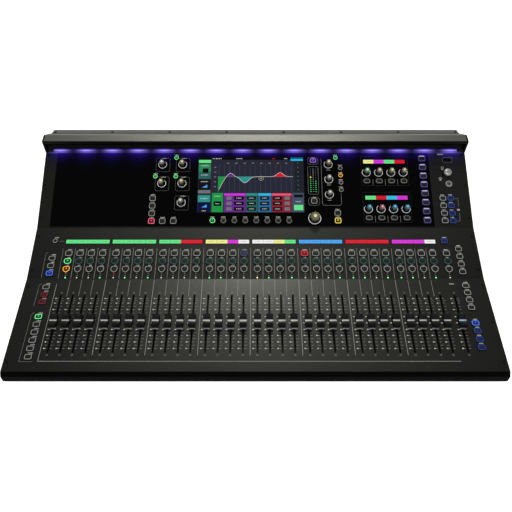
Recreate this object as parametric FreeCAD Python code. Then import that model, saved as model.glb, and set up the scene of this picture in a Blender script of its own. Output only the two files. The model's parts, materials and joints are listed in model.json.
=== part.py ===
import FreeCAD, Part
import math
import os

from FreeCAD import Vector

# Mixing console: a folded housing with three control decks that get steeper towards the back.
# X runs to the right, Y to the back, Z up. The origin is under the middle of the whole console,
# on the surface that its feet stand on. All sizes are in millimetres.

# ---- housing ---------------------------------------------------------------------------------
WIDTH = 805.0
SHEET = 2.0                      # steel of every folded panel
CHEEK = 12.0                     # side cheek that the panels screw down on
FOOT_HEIGHT = 8.0
FOOT_RADIUS = 14.0
FOOT_TAPER = 1.5                 # narrower by this much where it stands
FOOT_INSET_X = 72.0              # foot centre to the side of the console
FOOT_Y = (-165.0, 205.0)
FRONT_EDGE_HEIGHT = 49.0         # top of the front edge above the table
NOSE_REACH = 6.0                 # the nose stands this far in front of the top front edge
NOSE_TOP = 43.0
NOSE_BOTTOM = 30.0
CHIN = (4.0, 22.0)               # how far behind the nose, and how high, the undercut starts
UNDERCUT_DEPTH = 52.0
FADER_SLOPE, FADER_LENGTH = 7.5, 174.0
KEY_SLOPE, KEY_LENGTH = 16.5, 103.0
SCREEN_SLOPE, SCREEN_LENGTH = 26.5, 183.6
STRIP_SLOPE, STRIP_LENGTH = -11.0, 42.5
REAR_LEAN, REAR_LENGTH = 12.3, 148.0
HEEL = (5.0, FOOT_HEIGHT)        # the rear panel's foot turns in by this much, down to the floor pan
RIDGE_GAP = 3.0                  # the deck and the strip stop short of the ridge under the hood

# ---- hood over the ridge, as steps from the ridge ---------------------------------------------
HOOD_REACH = 29.6
HOOD_LIP_BOTTOM = 8.6
HOOD_LIP_TOP = 13.9
HOOD_CROWN = (11.7, 16.4)
HOOD_TAIL = 18.8
HOOD_TAIL_RISE = 2.6
HOOD_FOOT = 12.2
HOOD_CEILING = 3.4
HOOD_CHAMFER = 1.5
HOOD_END = 3.0                   # end plate that closes the hood down to the deck
HOOD_END_FOOT = 27.4
LIGHT_BAR_INSET = 16.0           # light bar's end to the side of the console
LIGHT_BAR_WIDTH = 8.0
LIGHT_BAR_HEIGHT = 4.0

# ---- channels ---------------------------------------------------------------------------------
LAYOUT_X = -8.3                  # middle of the 32 channels
BANKS = 8
BANK_SIZE = 4
BANK_PITCH = 84.7
CHANNEL_PITCH = 20.3
MASTER_STEP = 25.0               # last channel to the master
FADER_TRAVEL = 100.0
SLOT_WIDTH = 3.2
SLOT_CORNER = 1.59               # just under half the width, so that each round end keeps a short flat
SLOT_SPARE = 4.0                 # slot left over at the two ends of the travel
SLOT_MIDDLE = FADER_LENGTH / 2   # up the fader deck from its front edge
CAP_LENGTH, CAP_WIDTH, CAP_HEIGHT = 25.0, 11.7, 12.0
CAP_WAIST = 7.5                  # height of the dished finger rest
CAP_BATTER = 1.6                 # top edge in from the foot, at both ends
CAP_FLOAT = 1.0                  # cap above the panel
STEM_THICKNESS, STEM_LENGTH = 1.8, 6.0
STEM_GRIP = 5.0                  # stem inside the cap
STEM_REACH = 6.0                 # stem below the panel's top
SLOT_LENGTH = FADER_TRAVEL + STEM_LENGTH + SLOT_SPARE
TRACK_END = 8.0                  # track beyond each end of its slot
TRACK_LENGTH = SLOT_LENGTH + 2 * TRACK_END
TRACK_WIDTH, TRACK_DEPTH = 13.0, 11.0
MOTOR_RADIUS, MOTOR_LENGTH = 5.5, 22.0
MOTOR_SEAT = 1.0                 # motor let into the track
CHANNEL_KEY = (13.4, 11.6)
CHANNEL_KEY_ROWS = {"mute_keys": 50.0, "select_keys": 34.5, "listen_keys": 19.0}

# ---- keys -------------------------------------------------------------------------------------
KEY_CORNER = 2.6
ROTARY_KEY_CORNER = 4.0
KEY_GAP = 0.3
KEY_RISE = 2.2                   # key above the panel round it
KEY_TRAVEL = 0.8
KEY_STOP = 0.3                   # left between the pressed key and its board
SIDE_KEY = (12.6, 10.0)
SOFT_KEY = (13.8, 12.6)
ROTARY_KEY = (13.0, 9.8)
CLUSTER_KEY = (12.4, 11.4)
SCREEN_KEY_DIAMETER = 11.0
SMALL_KEY_DIAMETER = 9.2
TALK_KEY = (12.6, 9.0)
LAMP_KEY_DIAMETER = 9.0
LEFT_COLUMN_X = -363.7
RIGHT_COLUMN_X = 366.6
LAYER_KEYS = (24.6, 39.2, 53.9, 68.6, 83.2, 97.8)
LEFT_TALK_KEYS = (126.6, 141.2, 156.2)
RIGHT_LOWER_KEYS = (41.3, 56.1, 70.9, 85.7)
RIGHT_UPPER_KEYS = (115.5, 130.1, 144.7, 159.2)
LEFT_DECK_KEYS = (10.6, 25.3, 40.0, 75.3)
RIGHT_DECK_KEYS = (13.4, 28.4, 43.4, 58.4)
SCREEN_KEY_PITCH = 20.25
SCREEN_KEY_ROW = 13.5
SOFT_KEY_X, SOFT_KEY_FIRST, SOFT_KEY_PITCH = 317.8, 14.4, 17.9
MUTE_GROUP_X = (350.9, 365.5)
MUTE_GROUP_FIRST, MUTE_GROUP_PITCH = 13.5, 14.95
CLUSTER_KEY_SPOTS = ((-191.8, 12.4), (-191.8, 27.5), (-191.8, 42.6), (-191.8, 57.6),
                     (-171.6, 12.4), (-151.4, 12.4), (152.8, 13.4), (152.8, 28.4),
                     (110.0, 52.4))
TALK_KEY_SPOT = (110.0, 135.0)
LAMP_KEY_SPOTS = ((-150.4, 141.0), (-188.9, 102.2), (-150.4, 102.2), (152.9, 141.0),
                  (161.4, 119.3), (161.4, 104.4), (161.4, 89.6), (161.4, 74.7))

# ---- displays ---------------------------------------------------------------------------------
NAME_DISPLAY = (81.0, 9.4)
NAME_DISPLAY_ROW = 74.6
DISPLAY_GAP = 0.3
DISPLAY_DEPTH = 6.0
TOUCH_SIZE = (201.5, 114.2)
TOUCH_MIDDLE = 86.4              # up the screen deck
FASCIA = 1.5
FASCIA_LEFT, FASCIA_RIGHT = -379.0, 331.0
FASCIA_FRONT, FASCIA_BACK = 2.0, 154.0

# ---- rotary controls --------------------------------------------------------------------------
SHAFT_RADIUS = 3.0
SHAFT_CLEARANCE = 0.3
ENCODER_SIZE = 11.4
ENCODER_DEPTH = 7.0
KNOB_SKIRT_RADIUS, KNOB_SKIRT_TOP = 7.2, 6.4
KNOB_BODY_RADIUS, KNOB_HEIGHT = 5.2, 14.5
KNOB_FLOAT = 0.5
KNOB_RIM = 1.2                   # upright edge of the skirt
KNOB_FLARE = 0.4                 # body wider at its foot
KNOB_BEVEL = 0.8
SHAFT_COVER = 3.0                # knob's top over its shaft
BIG_KNOB_SKIRT, BIG_KNOB_BODY = 10.8, 9.6
STRIP_KNOBS = {"gain_knob": (-176.7, 127.8), "high_pass_knob": (-138.4, 127.8),
               "gate_knob": (-176.7, 88.7), "compressor_knob": (-138.4, 88.7),
               "pan_knob": (-138.4, 49.9), "high_band_knob": (138.9, 127.8),
               "mid_band_knob": (138.9, 96.9), "low_band_knob": (138.9, 66.0)}
BIG_KNOB_SPOT = (110.1, 18.8)
SOFT_ROTARY_X = (210.6, 233.9, 257.2, 280.5)
SOFT_ROTARY_ROWS = (36.9, 111.0)
ROTARY_KEY_DROP = 18.1           # soft rotary down to its key
ROTARY_DISPLAY_RISE = 22.7       # soft rotary up to the display above it
PHONES_KNOB_SPOT = (362.5, 108.0)
PHONES_KNOB_RADIUS, PHONES_KNOB_HEIGHT = 7.8, 13.0
PHONES_KNOB_DOME = 3.0           # height of its rounded top

# ---- sockets on the decks ---------------------------------------------------------------------
JACK_RADIUS = 3.3
JACK_DEPTH = 14.0
JACK_NUT_RADIUS = 5.6
JACK_NUT_LIP = 0.8
PHONES_JACK_SPOT = (365.7, 88.6)
USB_SLOT = (12.6, 5.2)
USB_SPOT = (367.6, 137.8)
USB_RIM = 1.4
USB_PROUD = 0.3
USB_BACK = 1.0                   # back wall of the shell

# ---- rear panel, seen from behind: places run from the console's middle and up from its foot ---
XLR_FLANGE = (26.0, 31.0)
XLR_GAP = (1.5, 4.0)             # between neighbouring flanges, across and up
XLR_PITCH = XLR_FLANGE[0] + XLR_GAP[0]
XLR_ROWS = (58.0, 58.0 + XLR_FLANGE[1] + XLR_GAP[1])
XLR_FLANGE_THICKNESS = 2.0
XLR_BODY_RADIUS = 11.8
XLR_BODY_DEPTH = 22.0
XLR_GROOVE_DEPTH = 14.0          # female groove below the panel's face
XLR_FLOOR = 3.0                  # floor of the male shell
XLR_PIN_LENGTH = 11.0
XLR_SHELL_OUTER, XLR_SHELL_INNER = 9.8, 7.6
XLR_PIN_CIRCLE, XLR_PIN_RADIUS = 3.6, 1.2
OUTPUT_COLUMNS, OUTPUT_FIRST_X = 8, -300.0
SPARE_COLUMN_X = OUTPUT_FIRST_X + OUTPUT_COLUMNS * XLR_PITCH + 8.0   # talkback above, digital below
INPUT_COLUMNS, INPUT_FIRST_X = 16, SPARE_COLUMN_X + XLR_PITCH + 2.5
PORT_ROW = 124.0
PORT_SIZE = (16.0, 14.0)
PORT_MOUTH = (12.0, 8.0)
PORT_DEPTH = 14.0
PORT_BACK = 2.0                  # back wall of the shell
PORT_PROUD = 1.0
PORT_X = (-190.0, -160.0, -130.0)
LINE_JACK_X = (-70.0, -40.0, -10.0, 20.0)
LINE_JACK_BODY = 13.0
LINE_JACK_RADIUS = 3.4
LINE_JACK_LIP = 1.0
MAINS_X, MAINS_ROW = -352.0, 76.0
MAINS_PLATE = (34.0, 64.0)
MAINS_PLATE_THICKNESS = 2.0
MAINS_PLATE_MARGIN = 3.0         # plate outside its cut-out
MAINS_BODY_DEPTH = 24.0
INLET_SIZE, INLET_DEPTH, INLET_DROP = (24.0, 17.0), 16.0, 14.0
BLADE_TOP = -7.5                 # the inlet's blades stop this far inside the panel's face
BLADE_SIZE = (2.0, 4.0)
BLADE_ROOT = 1.0                 # blade let into the well's floor
BLADE_STEPS = ((-7.0, 2.0), (0.0, -3.0), (7.0, 2.0))
ROCKER_RADIUS, ROCKER_WIDTH, ROCKER_RISE = 9.0, 13.0, 15.0
ROCKER_GAP = 0.4
ROCKER_EDGE, ROCKER_WAIST = 4.6, 3.2   # dished face above its pivot, at the ends and the middle
ROCKER_TILT = 8.0
VENT_SLOTS, VENT_PITCH, VENT_SIZE = 14, 6.0, (3.0, 26.0)
VENT_X, VENT_ROW = (110.0, 230.0), 126.0

# ---- screws and boards ------------------------------------------------------------------------
SCREW_RADIUS, SCREW_HEAD_RADIUS, SCREW_HEAD, SCREW_LENGTH = 1.5, 2.7, 0.7, 9.0
SCREW_HOLE = 1.7
SCREW_TIP = 1.0                  # screw bore beyond the screw's end
DECK_SCREWS = {"fader": (16.0, 88.0, 160.0), "key": (18.0, 85.0), "screen": (20.0, 85.0, 148.0)}
STRIP_SCREWS = 8
STRIP_SCREW_ROW = 31.0
BOARD = 1.6
BOARD_EDGE = 10.0                # board to the cheek
BOARD_FOLD_GAP = 4.0             # board to the folds in front of it and behind it
STUD_RADIUS = 2.6
SIDE_BOARD_WIDTH = 32.0
MAIN_BOARD = (340.0, 210.0)
MAIN_BOARD_MIDDLE = (90.0, 30.0)
MAIN_STUD = 9.0
POWER_SUPPLY = (190.0, 110.0, 42.0)
POWER_SUPPLY_MIDDLE = (-250.0, 130.0)


def heading(angle):
    """A unit step (Y, Z) at this angle above the horizontal, in degrees."""
    return math.cos(math.radians(angle)), math.sin(math.radians(angle))


def walk(start, angle, length):
    """The point reached from start along a line at this angle."""
    step = heading(angle)
    return start[0] + length * step[0], start[1] + length * step[1]


# The side profile, walked up the decks from the top front edge to the foot of the rear panel.
DEPTH = (NOSE_REACH + FADER_LENGTH * heading(FADER_SLOPE)[0] + KEY_LENGTH * heading(KEY_SLOPE)[0]
         + SCREEN_LENGTH * heading(SCREEN_SLOPE)[0] + STRIP_LENGTH * heading(STRIP_SLOPE)[0]
         + REAR_LENGTH * heading(REAR_LEAN)[1])
NOSE_Y = -DEPTH / 2
FRONT_EDGE = (NOSE_Y + NOSE_REACH, FRONT_EDGE_HEIGHT)
FIRST_FOLD = walk(FRONT_EDGE, FADER_SLOPE, FADER_LENGTH)
SECOND_FOLD = walk(FIRST_FOLD, KEY_SLOPE, KEY_LENGTH)
RIDGE = walk(SECOND_FOLD, SCREEN_SLOPE, SCREEN_LENGTH)
REAR_EDGE = walk(RIDGE, STRIP_SLOPE, STRIP_LENGTH)
REAR_FOOT = walk(REAR_EDGE, REAR_LEAN - 90.0, REAR_LENGTH)
HALF = WIDTH / 2
SCREW_X = HALF - CHEEK / 2

TOP_PROFILE = [FRONT_EDGE, FIRST_FOLD, SECOND_FOLD, RIDGE, REAR_EDGE, REAR_FOOT]
PAN_PROFILE = [REAR_FOOT, (REAR_FOOT[0] - HEEL[0], HEEL[1]), (NOSE_Y + UNDERCUT_DEPTH, FOOT_HEIGHT),
               (NOSE_Y + CHIN[0], CHIN[1]), (NOSE_Y, NOSE_BOTTOM), (NOSE_Y, NOSE_TOP), FRONT_EDGE]


class Deck:
    """A flat panel's own frame: x across, t up the slope from its lower edge, h out of its face."""

    def __init__(self, corner, angle, faces_back=False):
        run, rise = heading(angle)
        across = -1.0 if faces_back else 1.0
        self.x = Vector(across, 0, 0)
        self.t = Vector(0, run, rise)
        self.h = self.x.cross(self.t)
        self.place = FreeCAD.Placement(Vector(0, corner[0], corner[1]),
                                       FreeCAD.Rotation(self.x, self.t, self.h, "XYZ"))

    def put(self, shape):
        """The shape, drawn in the deck's frame, moved to its place on the console."""
        placed = shape.copy()
        placed.Placement = self.place.multiply(shape.Placement)
        return placed


FADER_DECK = Deck(FRONT_EDGE, FADER_SLOPE)
KEY_DECK = Deck(FIRST_FOLD, KEY_SLOPE)
SCREEN_DECK = Deck(SECOND_FOLD, SCREEN_SLOPE)
STRIP_DECK = Deck(RIDGE, STRIP_SLOPE)
REAR_DECK = Deck(REAR_FOOT, REAR_LEAN + 90.0, faces_back=True)


# ---- outlines ---------------------------------------------------------------------------------
def ring(points):
    """A closed wire through these points."""
    return Part.makePolygon(list(points) + [points[0]])


def rectangle(spot, size, level=0.0):
    """A rectangle of this size, centred on the spot."""
    dx, dy = size[0] / 2, size[1] / 2
    corners = ((-dx, -dy), (dx, -dy), (dx, dy), (-dx, dy))
    return ring([Vector(spot[0] + x, spot[1] + y, level) for x, y in corners])


def circle(spot, radius, level=0.0):
    """A circle round the spot."""
    return Part.Wire(Part.makeCircle(radius, Vector(spot[0], spot[1], level)))


def rounded(spot, size, corner, level=0.0):
    """A rectangle with round corners, centred on the spot."""
    edges = []
    dx, dy = size[0] / 2 - corner, size[1] / 2 - corner
    centres = ((dx, dy), (-dx, dy), (-dx, -dy), (dx, -dy))
    for turn, (x, y) in enumerate(centres):
        centre = Vector(spot[0] + x, spot[1] + y, level)
        arc = Part.makeCircle(corner, centre, Vector(0, 0, 1), 90 * turn, 90 * turn + 90)
        if edges:
            edges.append(Part.makeLine(edges[-1].lastVertex().Point, arc.firstVertex().Point))
        edges.append(arc)
    edges.append(Part.makeLine(edges[-1].lastVertex().Point, edges[0].firstVertex().Point))
    return Part.Wire(Part.__sortEdges__(edges))


def grown(size, margin):
    """A size with the margin added all round."""
    return tuple(side + 2 * margin for side in size)


# ---- solids -----------------------------------------------------------------------------------
def prism(outline, low, high, holes=()):
    """The outline, less its holes, raised from low to high."""
    face = Part.makeFace([outline, *holes], "Part::FaceMakerBullseye")
    return face.extrude(Vector(0, 0, high - low)).translated(Vector(0, 0, low))


def across(profile, low, high):
    """A side profile of (Y, Z) points, drawn out from X low to X high."""
    outline = ring([Vector(low, y, z) for y, z in profile])
    return Part.Face(outline).extrude(Vector(high - low, 0, 0))


def tube_of(radius, low, high, spot):
    """An upright cylinder between two levels."""
    return Part.makeCylinder(radius, high - low, Vector(spot[0], spot[1], low))


def turned(profile, spot):
    """A profile of (radius, height) points turned about the spot's upright axis."""
    face = Part.Face(ring([Vector(r, 0, z) for r, z in profile]))
    return face.revolve(Vector(0, 0, 0), Vector(0, 0, 1), 360).translated(Vector(spot[0], spot[1], 0))


def inset(points, depth):
    """The corners of a closed profile, walked clockwise seen from +X, moved inwards by depth."""
    moved = []
    for index, here in enumerate(points):
        before, after = points[index - 1], points[(index + 1) % len(points)]
        normals = []
        for a, b in ((before, here), (here, after)):
            size = math.hypot(b[0] - a[0], b[1] - a[1])
            normals.append(((b[1] - a[1]) / size, -(b[0] - a[0]) / size))
        (py, pz), (qy, qz) = normals
        scale = depth / (1 + py * qy + pz * qz)
        moved.append((here[0] + scale * (py + qy), here[1] + scale * (pz + qz)))
    return moved


# ---- channel places ---------------------------------------------------------------------------
def bank_x(bank):
    """The middle of one bank of channels."""
    return LAYOUT_X + BANK_PITCH * (bank - (BANKS - 1) / 2)


def bank_channels(bank):
    """The X places of one bank's channels."""
    return [bank_x(bank) + CHANNEL_PITCH * (slot - (BANK_SIZE - 1) / 2) for slot in range(BANK_SIZE)]


CHANNELS = [x for bank in range(BANKS) for x in bank_channels(bank)]
MASTER_X = CHANNELS[-1] + MASTER_STEP
ALL_CHANNELS = CHANNELS + [MASTER_X]


class Key:
    """A key's cap: its spot on the deck, and its outline with any margin."""

    def __init__(self, spot, size, corner=KEY_CORNER):
        self.spot = spot
        self.size = size
        self.corner = corner

    def outline(self, margin=0.0):
        """The cap's outline, or that of its hole."""
        if isinstance(self.size, float):
            return circle(self.spot, self.size / 2 + margin)
        return rounded(self.spot, grown(self.size, margin), self.corner + margin)


def column(x, rows, size):
    """Keys one above another."""
    return [Key((x, row), size) for row in rows]


def spread(first, pitch, count):
    """Evenly spaced places."""
    return [first + pitch * step for step in range(count)]


FADER_DECK_KEYS = (column(LEFT_COLUMN_X, LAYER_KEYS + LEFT_TALK_KEYS, SIDE_KEY)
                   + column(RIGHT_COLUMN_X, RIGHT_LOWER_KEYS + RIGHT_UPPER_KEYS, SIDE_KEY))
SIDE_DECK_KEYS = (column(LEFT_COLUMN_X, LEFT_DECK_KEYS[:-1], SIDE_KEY)
                  + column(RIGHT_COLUMN_X, RIGHT_DECK_KEYS, SIDE_KEY)
                  + [Key((LEFT_COLUMN_X, LEFT_DECK_KEYS[-1]), SMALL_KEY_DIAMETER),
                     Key((MASTER_X, LEFT_DECK_KEYS[-1]), SIDE_KEY)])
CHANNEL_KEYS = {name: [Key((x, row), CHANNEL_KEY) for x in ALL_CHANNELS]
                for name, row in CHANNEL_KEY_ROWS.items()}
SOFT_ROTARIES = [(x, row) for row in reversed(SOFT_ROTARY_ROWS) for x in SOFT_ROTARY_X]
SCREEN_DECK_KEYS = {
    "processing_keys": ([Key(spot, CLUSTER_KEY) for spot in CLUSTER_KEY_SPOTS]
                        + [Key(TALK_KEY_SPOT, TALK_KEY)]
                        + [Key(spot, LAMP_KEY_DIAMETER) for spot in LAMP_KEY_SPOTS]),
    "screen_keys": [Key((x, SCREEN_KEY_ROW), SCREEN_KEY_DIAMETER)
                    for x in spread(LAYOUT_X - 3.5 * SCREEN_KEY_PITCH, SCREEN_KEY_PITCH, 8)],
    "rotary_keys": [Key((x, row - ROTARY_KEY_DROP), ROTARY_KEY, ROTARY_KEY_CORNER)
                    for x, row in SOFT_ROTARIES],
    "soft_keys": column(SOFT_KEY_X, spread(SOFT_KEY_FIRST, SOFT_KEY_PITCH, 8), SOFT_KEY),
    "mute_group_keys": [Key((x, row), SIDE_KEY) for x in MUTE_GROUP_X
                        for row in spread(MUTE_GROUP_FIRST, MUTE_GROUP_PITCH, 4)],
}
ROTARY_DISPLAYS = [(sum(SOFT_ROTARY_X) / len(SOFT_ROTARY_X), row + ROTARY_DISPLAY_RISE)
                   for row in SOFT_ROTARY_ROWS]
KNOB_SPOTS = list(STRIP_KNOBS.values()) + [BIG_KNOB_SPOT] + SOFT_ROTARIES + [PHONES_KNOB_SPOT]
TOUCH_SPOT = (LAYOUT_X, TOUCH_MIDDLE)

# Levels below each deck's own face, set by what hangs under the panel there.
KEY_BOARD_TOP = -DISPLAY_DEPTH
SCREEN_BOARD_TOP = -SHEET - ENCODER_DEPTH


# ---- casing -----------------------------------------------------------------------------------
def screw_holes(name):
    """Holes for the screws down both sides of a deck."""
    return [circle((side * SCREW_X, row), SCREW_HOLE) for side in (-1, 1) for row in DECK_SCREWS[name]]


def studded(deck, plate, spots, level):
    """A deck plate with the welded studs that its board is fixed to."""
    studs = [tube_of(STUD_RADIUS, level, -SHEET, spot) for spot in spots]
    return deck.put(plate.fuse(studs).removeSplitter())


def deck_outline(length):
    """A full-width panel from its lower edge up."""
    return rectangle((0, length / 2), (WIDTH, length))


def fader_panel():
    """The front deck, with its fader slots and its side keys' holes."""
    holes = [rounded((x, SLOT_MIDDLE), (SLOT_WIDTH, SLOT_LENGTH), SLOT_CORNER)
             for x in ALL_CHANNELS]
    holes += [key.outline(KEY_GAP) for key in FADER_DECK_KEYS] + screw_holes("fader")
    return studded(FADER_DECK, prism(deck_outline(FADER_LENGTH), -SHEET, 0, holes),
                   side_studs(FADER_LENGTH), KEY_BOARD_TOP)


def key_panel():
    """The middle deck, with its keys' and name displays' holes."""
    holes = [rectangle((bank_x(bank), NAME_DISPLAY_ROW), grown(NAME_DISPLAY, DISPLAY_GAP))
             for bank in range(BANKS)]
    keys = SIDE_DECK_KEYS + sum(CHANNEL_KEYS.values(), [])
    holes += [key.outline(KEY_GAP) for key in keys] + screw_holes("key")
    return studded(KEY_DECK, prism(deck_outline(KEY_LENGTH), -SHEET, 0, holes),
                   side_studs(KEY_LENGTH), KEY_BOARD_TOP)


def screen_openings(bare_deck):
    """Everything that comes through the screen deck; the fascia has only what lies under it."""
    keys = sum(SCREEN_DECK_KEYS.values(), [])
    cuts = [(key.spot[0], key.outline(KEY_GAP)) for key in keys]
    cuts += [(spot[0], circle(spot, SHAFT_RADIUS + SHAFT_CLEARANCE)) for spot in KNOB_SPOTS]
    cuts.append((TOUCH_SPOT[0], rectangle(TOUCH_SPOT, grown(TOUCH_SIZE, DISPLAY_GAP))))
    cuts += [(spot[0], rectangle(spot, grown(NAME_DISPLAY, DISPLAY_GAP))) for spot in ROTARY_DISPLAYS]
    cuts.append((PHONES_JACK_SPOT[0], circle(PHONES_JACK_SPOT, JACK_NUT_RADIUS)))
    cuts.append((USB_SPOT[0], rectangle(USB_SPOT, grown(USB_SLOT, USB_RIM))))
    return [outline for x, outline in cuts if bare_deck or x < FASCIA_RIGHT]


def screen_panel():
    """The steep deck under the fascia and round it."""
    holes = screen_openings(True) + screw_holes("screen")
    return studded(SCREEN_DECK, prism(deck_outline(SCREEN_LENGTH - RIDGE_GAP), -SHEET, 0, holes),
                   side_studs(FASCIA_BACK), SCREEN_BOARD_TOP)


def gloss_fascia():
    """The acrylic sheet on the steep deck."""
    middle = ((FASCIA_LEFT + FASCIA_RIGHT) / 2, (FASCIA_FRONT + FASCIA_BACK) / 2)
    size = (FASCIA_RIGHT - FASCIA_LEFT, FASCIA_BACK - FASCIA_FRONT)
    return SCREEN_DECK.put(prism(rectangle(middle, size), 0, FASCIA, screen_openings(False)))


def side_studs(length):
    """Two studs down each side, just inside the cheeks."""
    x = HALF - CHEEK - BOARD_EDGE
    return [(side * x, row) for side in (-1, 1) for row in (BOARD_EDGE, length - BOARD_EDGE)]


def side_cheek(side):
    """A side plate that fills the profile inside the folded sheets."""
    core = inset(TOP_PROFILE + PAN_PROFILE[1:-1], SHEET)
    low, high = sorted((side * HALF, side * (HALF - CHEEK)))
    bores = [deck.put(tube_of(SCREW_HOLE, -SCREW_LENGTH - SCREW_TIP, 0, (side * SCREW_X, row)))
             for name, deck in DECKS.items() for row in DECK_SCREWS[name]]
    bores.append(STRIP_DECK.put(tube_of(SCREW_HOLE, -SCREW_LENGTH - SCREW_TIP, 0,
                                        (side * SCREW_X, STRIP_SCREW_ROW))))
    return across(core, low, high).cut(bores)


def base_tray():
    """The floor, undercut and nose in one folded sheet, with the main board's studs."""
    core = inset(TOP_PROFILE + PAN_PROFILE[1:-1], SHEET)
    inner = core[len(TOP_PROFILE) - 1:] + core[:1]
    front_end = walk(FRONT_EDGE, FADER_SLOPE - 90.0, SHEET)
    rear_end = walk(REAR_FOOT, REAR_LEAN + 180.0, SHEET)
    sheet = across(PAN_PROFILE + [front_end] + inner[::-1] + [rear_end], -HALF, HALF)
    x, y = MAIN_BOARD_MIDDLE
    inside = FOOT_HEIGHT + SHEET
    studs = [tube_of(STUD_RADIUS, inside, inside + MAIN_STUD,
                     (x + sx * (MAIN_BOARD[0] / 2 - BOARD_EDGE), y + sy * (MAIN_BOARD[1] / 2 - BOARD_EDGE)))
             for sx in (-1, 1) for sy in (-1, 1)]
    return sheet.fuse(studs)


def strip_screw_spots():
    """Screws along the rear strip."""
    pitch = 2 * SCREW_X / (STRIP_SCREWS - 1)
    return [(x, STRIP_SCREW_ROW) for x in spread(-SCREW_X, pitch, STRIP_SCREWS)]


def rear_openings():
    """Cut-outs in the rear panel, in its own frame, where x runs the other way."""
    cuts = [circle(spot, XLR_BODY_RADIUS + KEY_GAP) for spot in INPUT_SPOTS + OUTPUT_SPOTS]
    cuts += [rectangle(spot, PORT_SIZE) for spot in PORT_SPOTS]
    cuts += [circle(spot, LINE_JACK_BODY / 2) for spot in LINE_JACK_SPOTS]
    cuts.append(rectangle(MAINS_SPOT, grown(MAINS_PLATE, -MAINS_PLATE_MARGIN)))
    for middle in VENT_X:
        for x in spread(middle - VENT_PITCH * (VENT_SLOTS - 1) / 2, VENT_PITCH, VENT_SLOTS):
            cuts.append(rectangle((-x, VENT_ROW), VENT_SIZE))
    return cuts


def rear_panel():
    """The rear strip and the leaning rear panel, folded in one sheet."""
    strip_holes = [circle(spot, SCREW_HOLE) for spot in strip_screw_spots()]
    middle = (0, (STRIP_LENGTH + RIDGE_GAP) / 2)
    strip = prism(rectangle(middle, (WIDTH, STRIP_LENGTH - RIDGE_GAP)), -SHEET, 0, strip_holes)
    back = prism(deck_outline(REAR_LENGTH), -SHEET, 0, rear_openings())
    return STRIP_DECK.put(strip).fuse(REAR_DECK.put(back)).removeSplitter()


def hood_profile(foot, ceiling):
    """The hood's section round the ridge, down to its foot on the screen deck, then on to the ceiling."""
    deck_drop = math.tan(math.radians(SCREEN_SLOPE))
    strip_drop = math.tan(math.radians(STRIP_SLOPE))
    steps = [(-HOOD_REACH, HOOD_LIP_BOTTOM), (-HOOD_REACH, HOOD_LIP_TOP - HOOD_CHAMFER),
             (-HOOD_REACH + HOOD_CHAMFER, HOOD_LIP_TOP), (-HOOD_CROWN[0], HOOD_CROWN[1]),
             (HOOD_TAIL, HOOD_TAIL * strip_drop + HOOD_TAIL_RISE), (HOOD_TAIL, HOOD_TAIL * strip_drop),
             (0.0, 0.0), (-foot, -foot * deck_drop), *ceiling]
    return [(RIDGE[0] + dy, RIDGE[1] + dz) for dy, dz in steps]


def hood_bar():
    """The extruded hood between its two end plates."""
    inner = HALF - HOOD_END
    section = hood_profile(HOOD_FOOT, [(-HOOD_FOOT, HOOD_CEILING)])
    plate = hood_profile(HOOD_END_FOOT, [])
    return [across(section, -inner, inner), across(plate, -HALF, -inner), across(plate, inner, HALF)]


def light_bar():
    """The lamp strip that closes the fascia's top edge, under the hood."""
    low = FASCIA_BACK + KEY_GAP
    size = (WIDTH - 2 * LIGHT_BAR_INSET, LIGHT_BAR_WIDTH)
    spot = (0.0, low + LIGHT_BAR_WIDTH / 2)
    return SCREEN_DECK.put(prism(rectangle(spot, size), 0, LIGHT_BAR_HEIGHT))


def screw(deck, spot):
    """A pan-head screw standing on a deck."""
    head = tube_of(SCREW_HEAD_RADIUS, 0, SCREW_HEAD, spot)
    return deck.put(head.fuse(tube_of(SCREW_RADIUS, -SCREW_LENGTH, 0, spot)).removeSplitter())


def panel_screws():
    """The screws that hold the decks and the strip to the cheeks."""
    spots = [(deck, (side * SCREW_X, row)) for name, deck in DECKS.items()
             for side in (-1, 1) for row in DECK_SCREWS[name]]
    spots += [(STRIP_DECK, spot) for spot in strip_screw_spots()]
    return [screw(deck, spot) for deck, spot in spots]


def feet():
    """Four rubber feet, narrower where they stand."""
    spots = [(side * (HALF - FOOT_INSET_X), y) for side in (-1, 1) for y in FOOT_Y]
    profile = [(0, 0), (FOOT_RADIUS - FOOT_TAPER, 0), (FOOT_RADIUS, FOOT_HEIGHT), (0, FOOT_HEIGHT)]
    return [turned(profile, spot) for spot in spots]


# ---- displays ---------------------------------------------------------------------------------
def channel_displays():
    """The name displays: one for each bank, and one over each row of soft rotaries."""
    bodies = [KEY_DECK.put(prism(rectangle((bank_x(bank), NAME_DISPLAY_ROW), NAME_DISPLAY),
                                 -DISPLAY_DEPTH, 0)) for bank in range(BANKS)]
    bodies += [SCREEN_DECK.put(prism(rectangle(spot, NAME_DISPLAY), SCREEN_BOARD_TOP, FASCIA))
               for spot in ROTARY_DISPLAYS]
    return bodies


def touchscreen():
    """The screen module, flush with the fascia and as deep as its board."""
    return SCREEN_DECK.put(prism(rectangle(TOUCH_SPOT, TOUCH_SIZE), SCREEN_BOARD_TOP, FASCIA))


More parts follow.
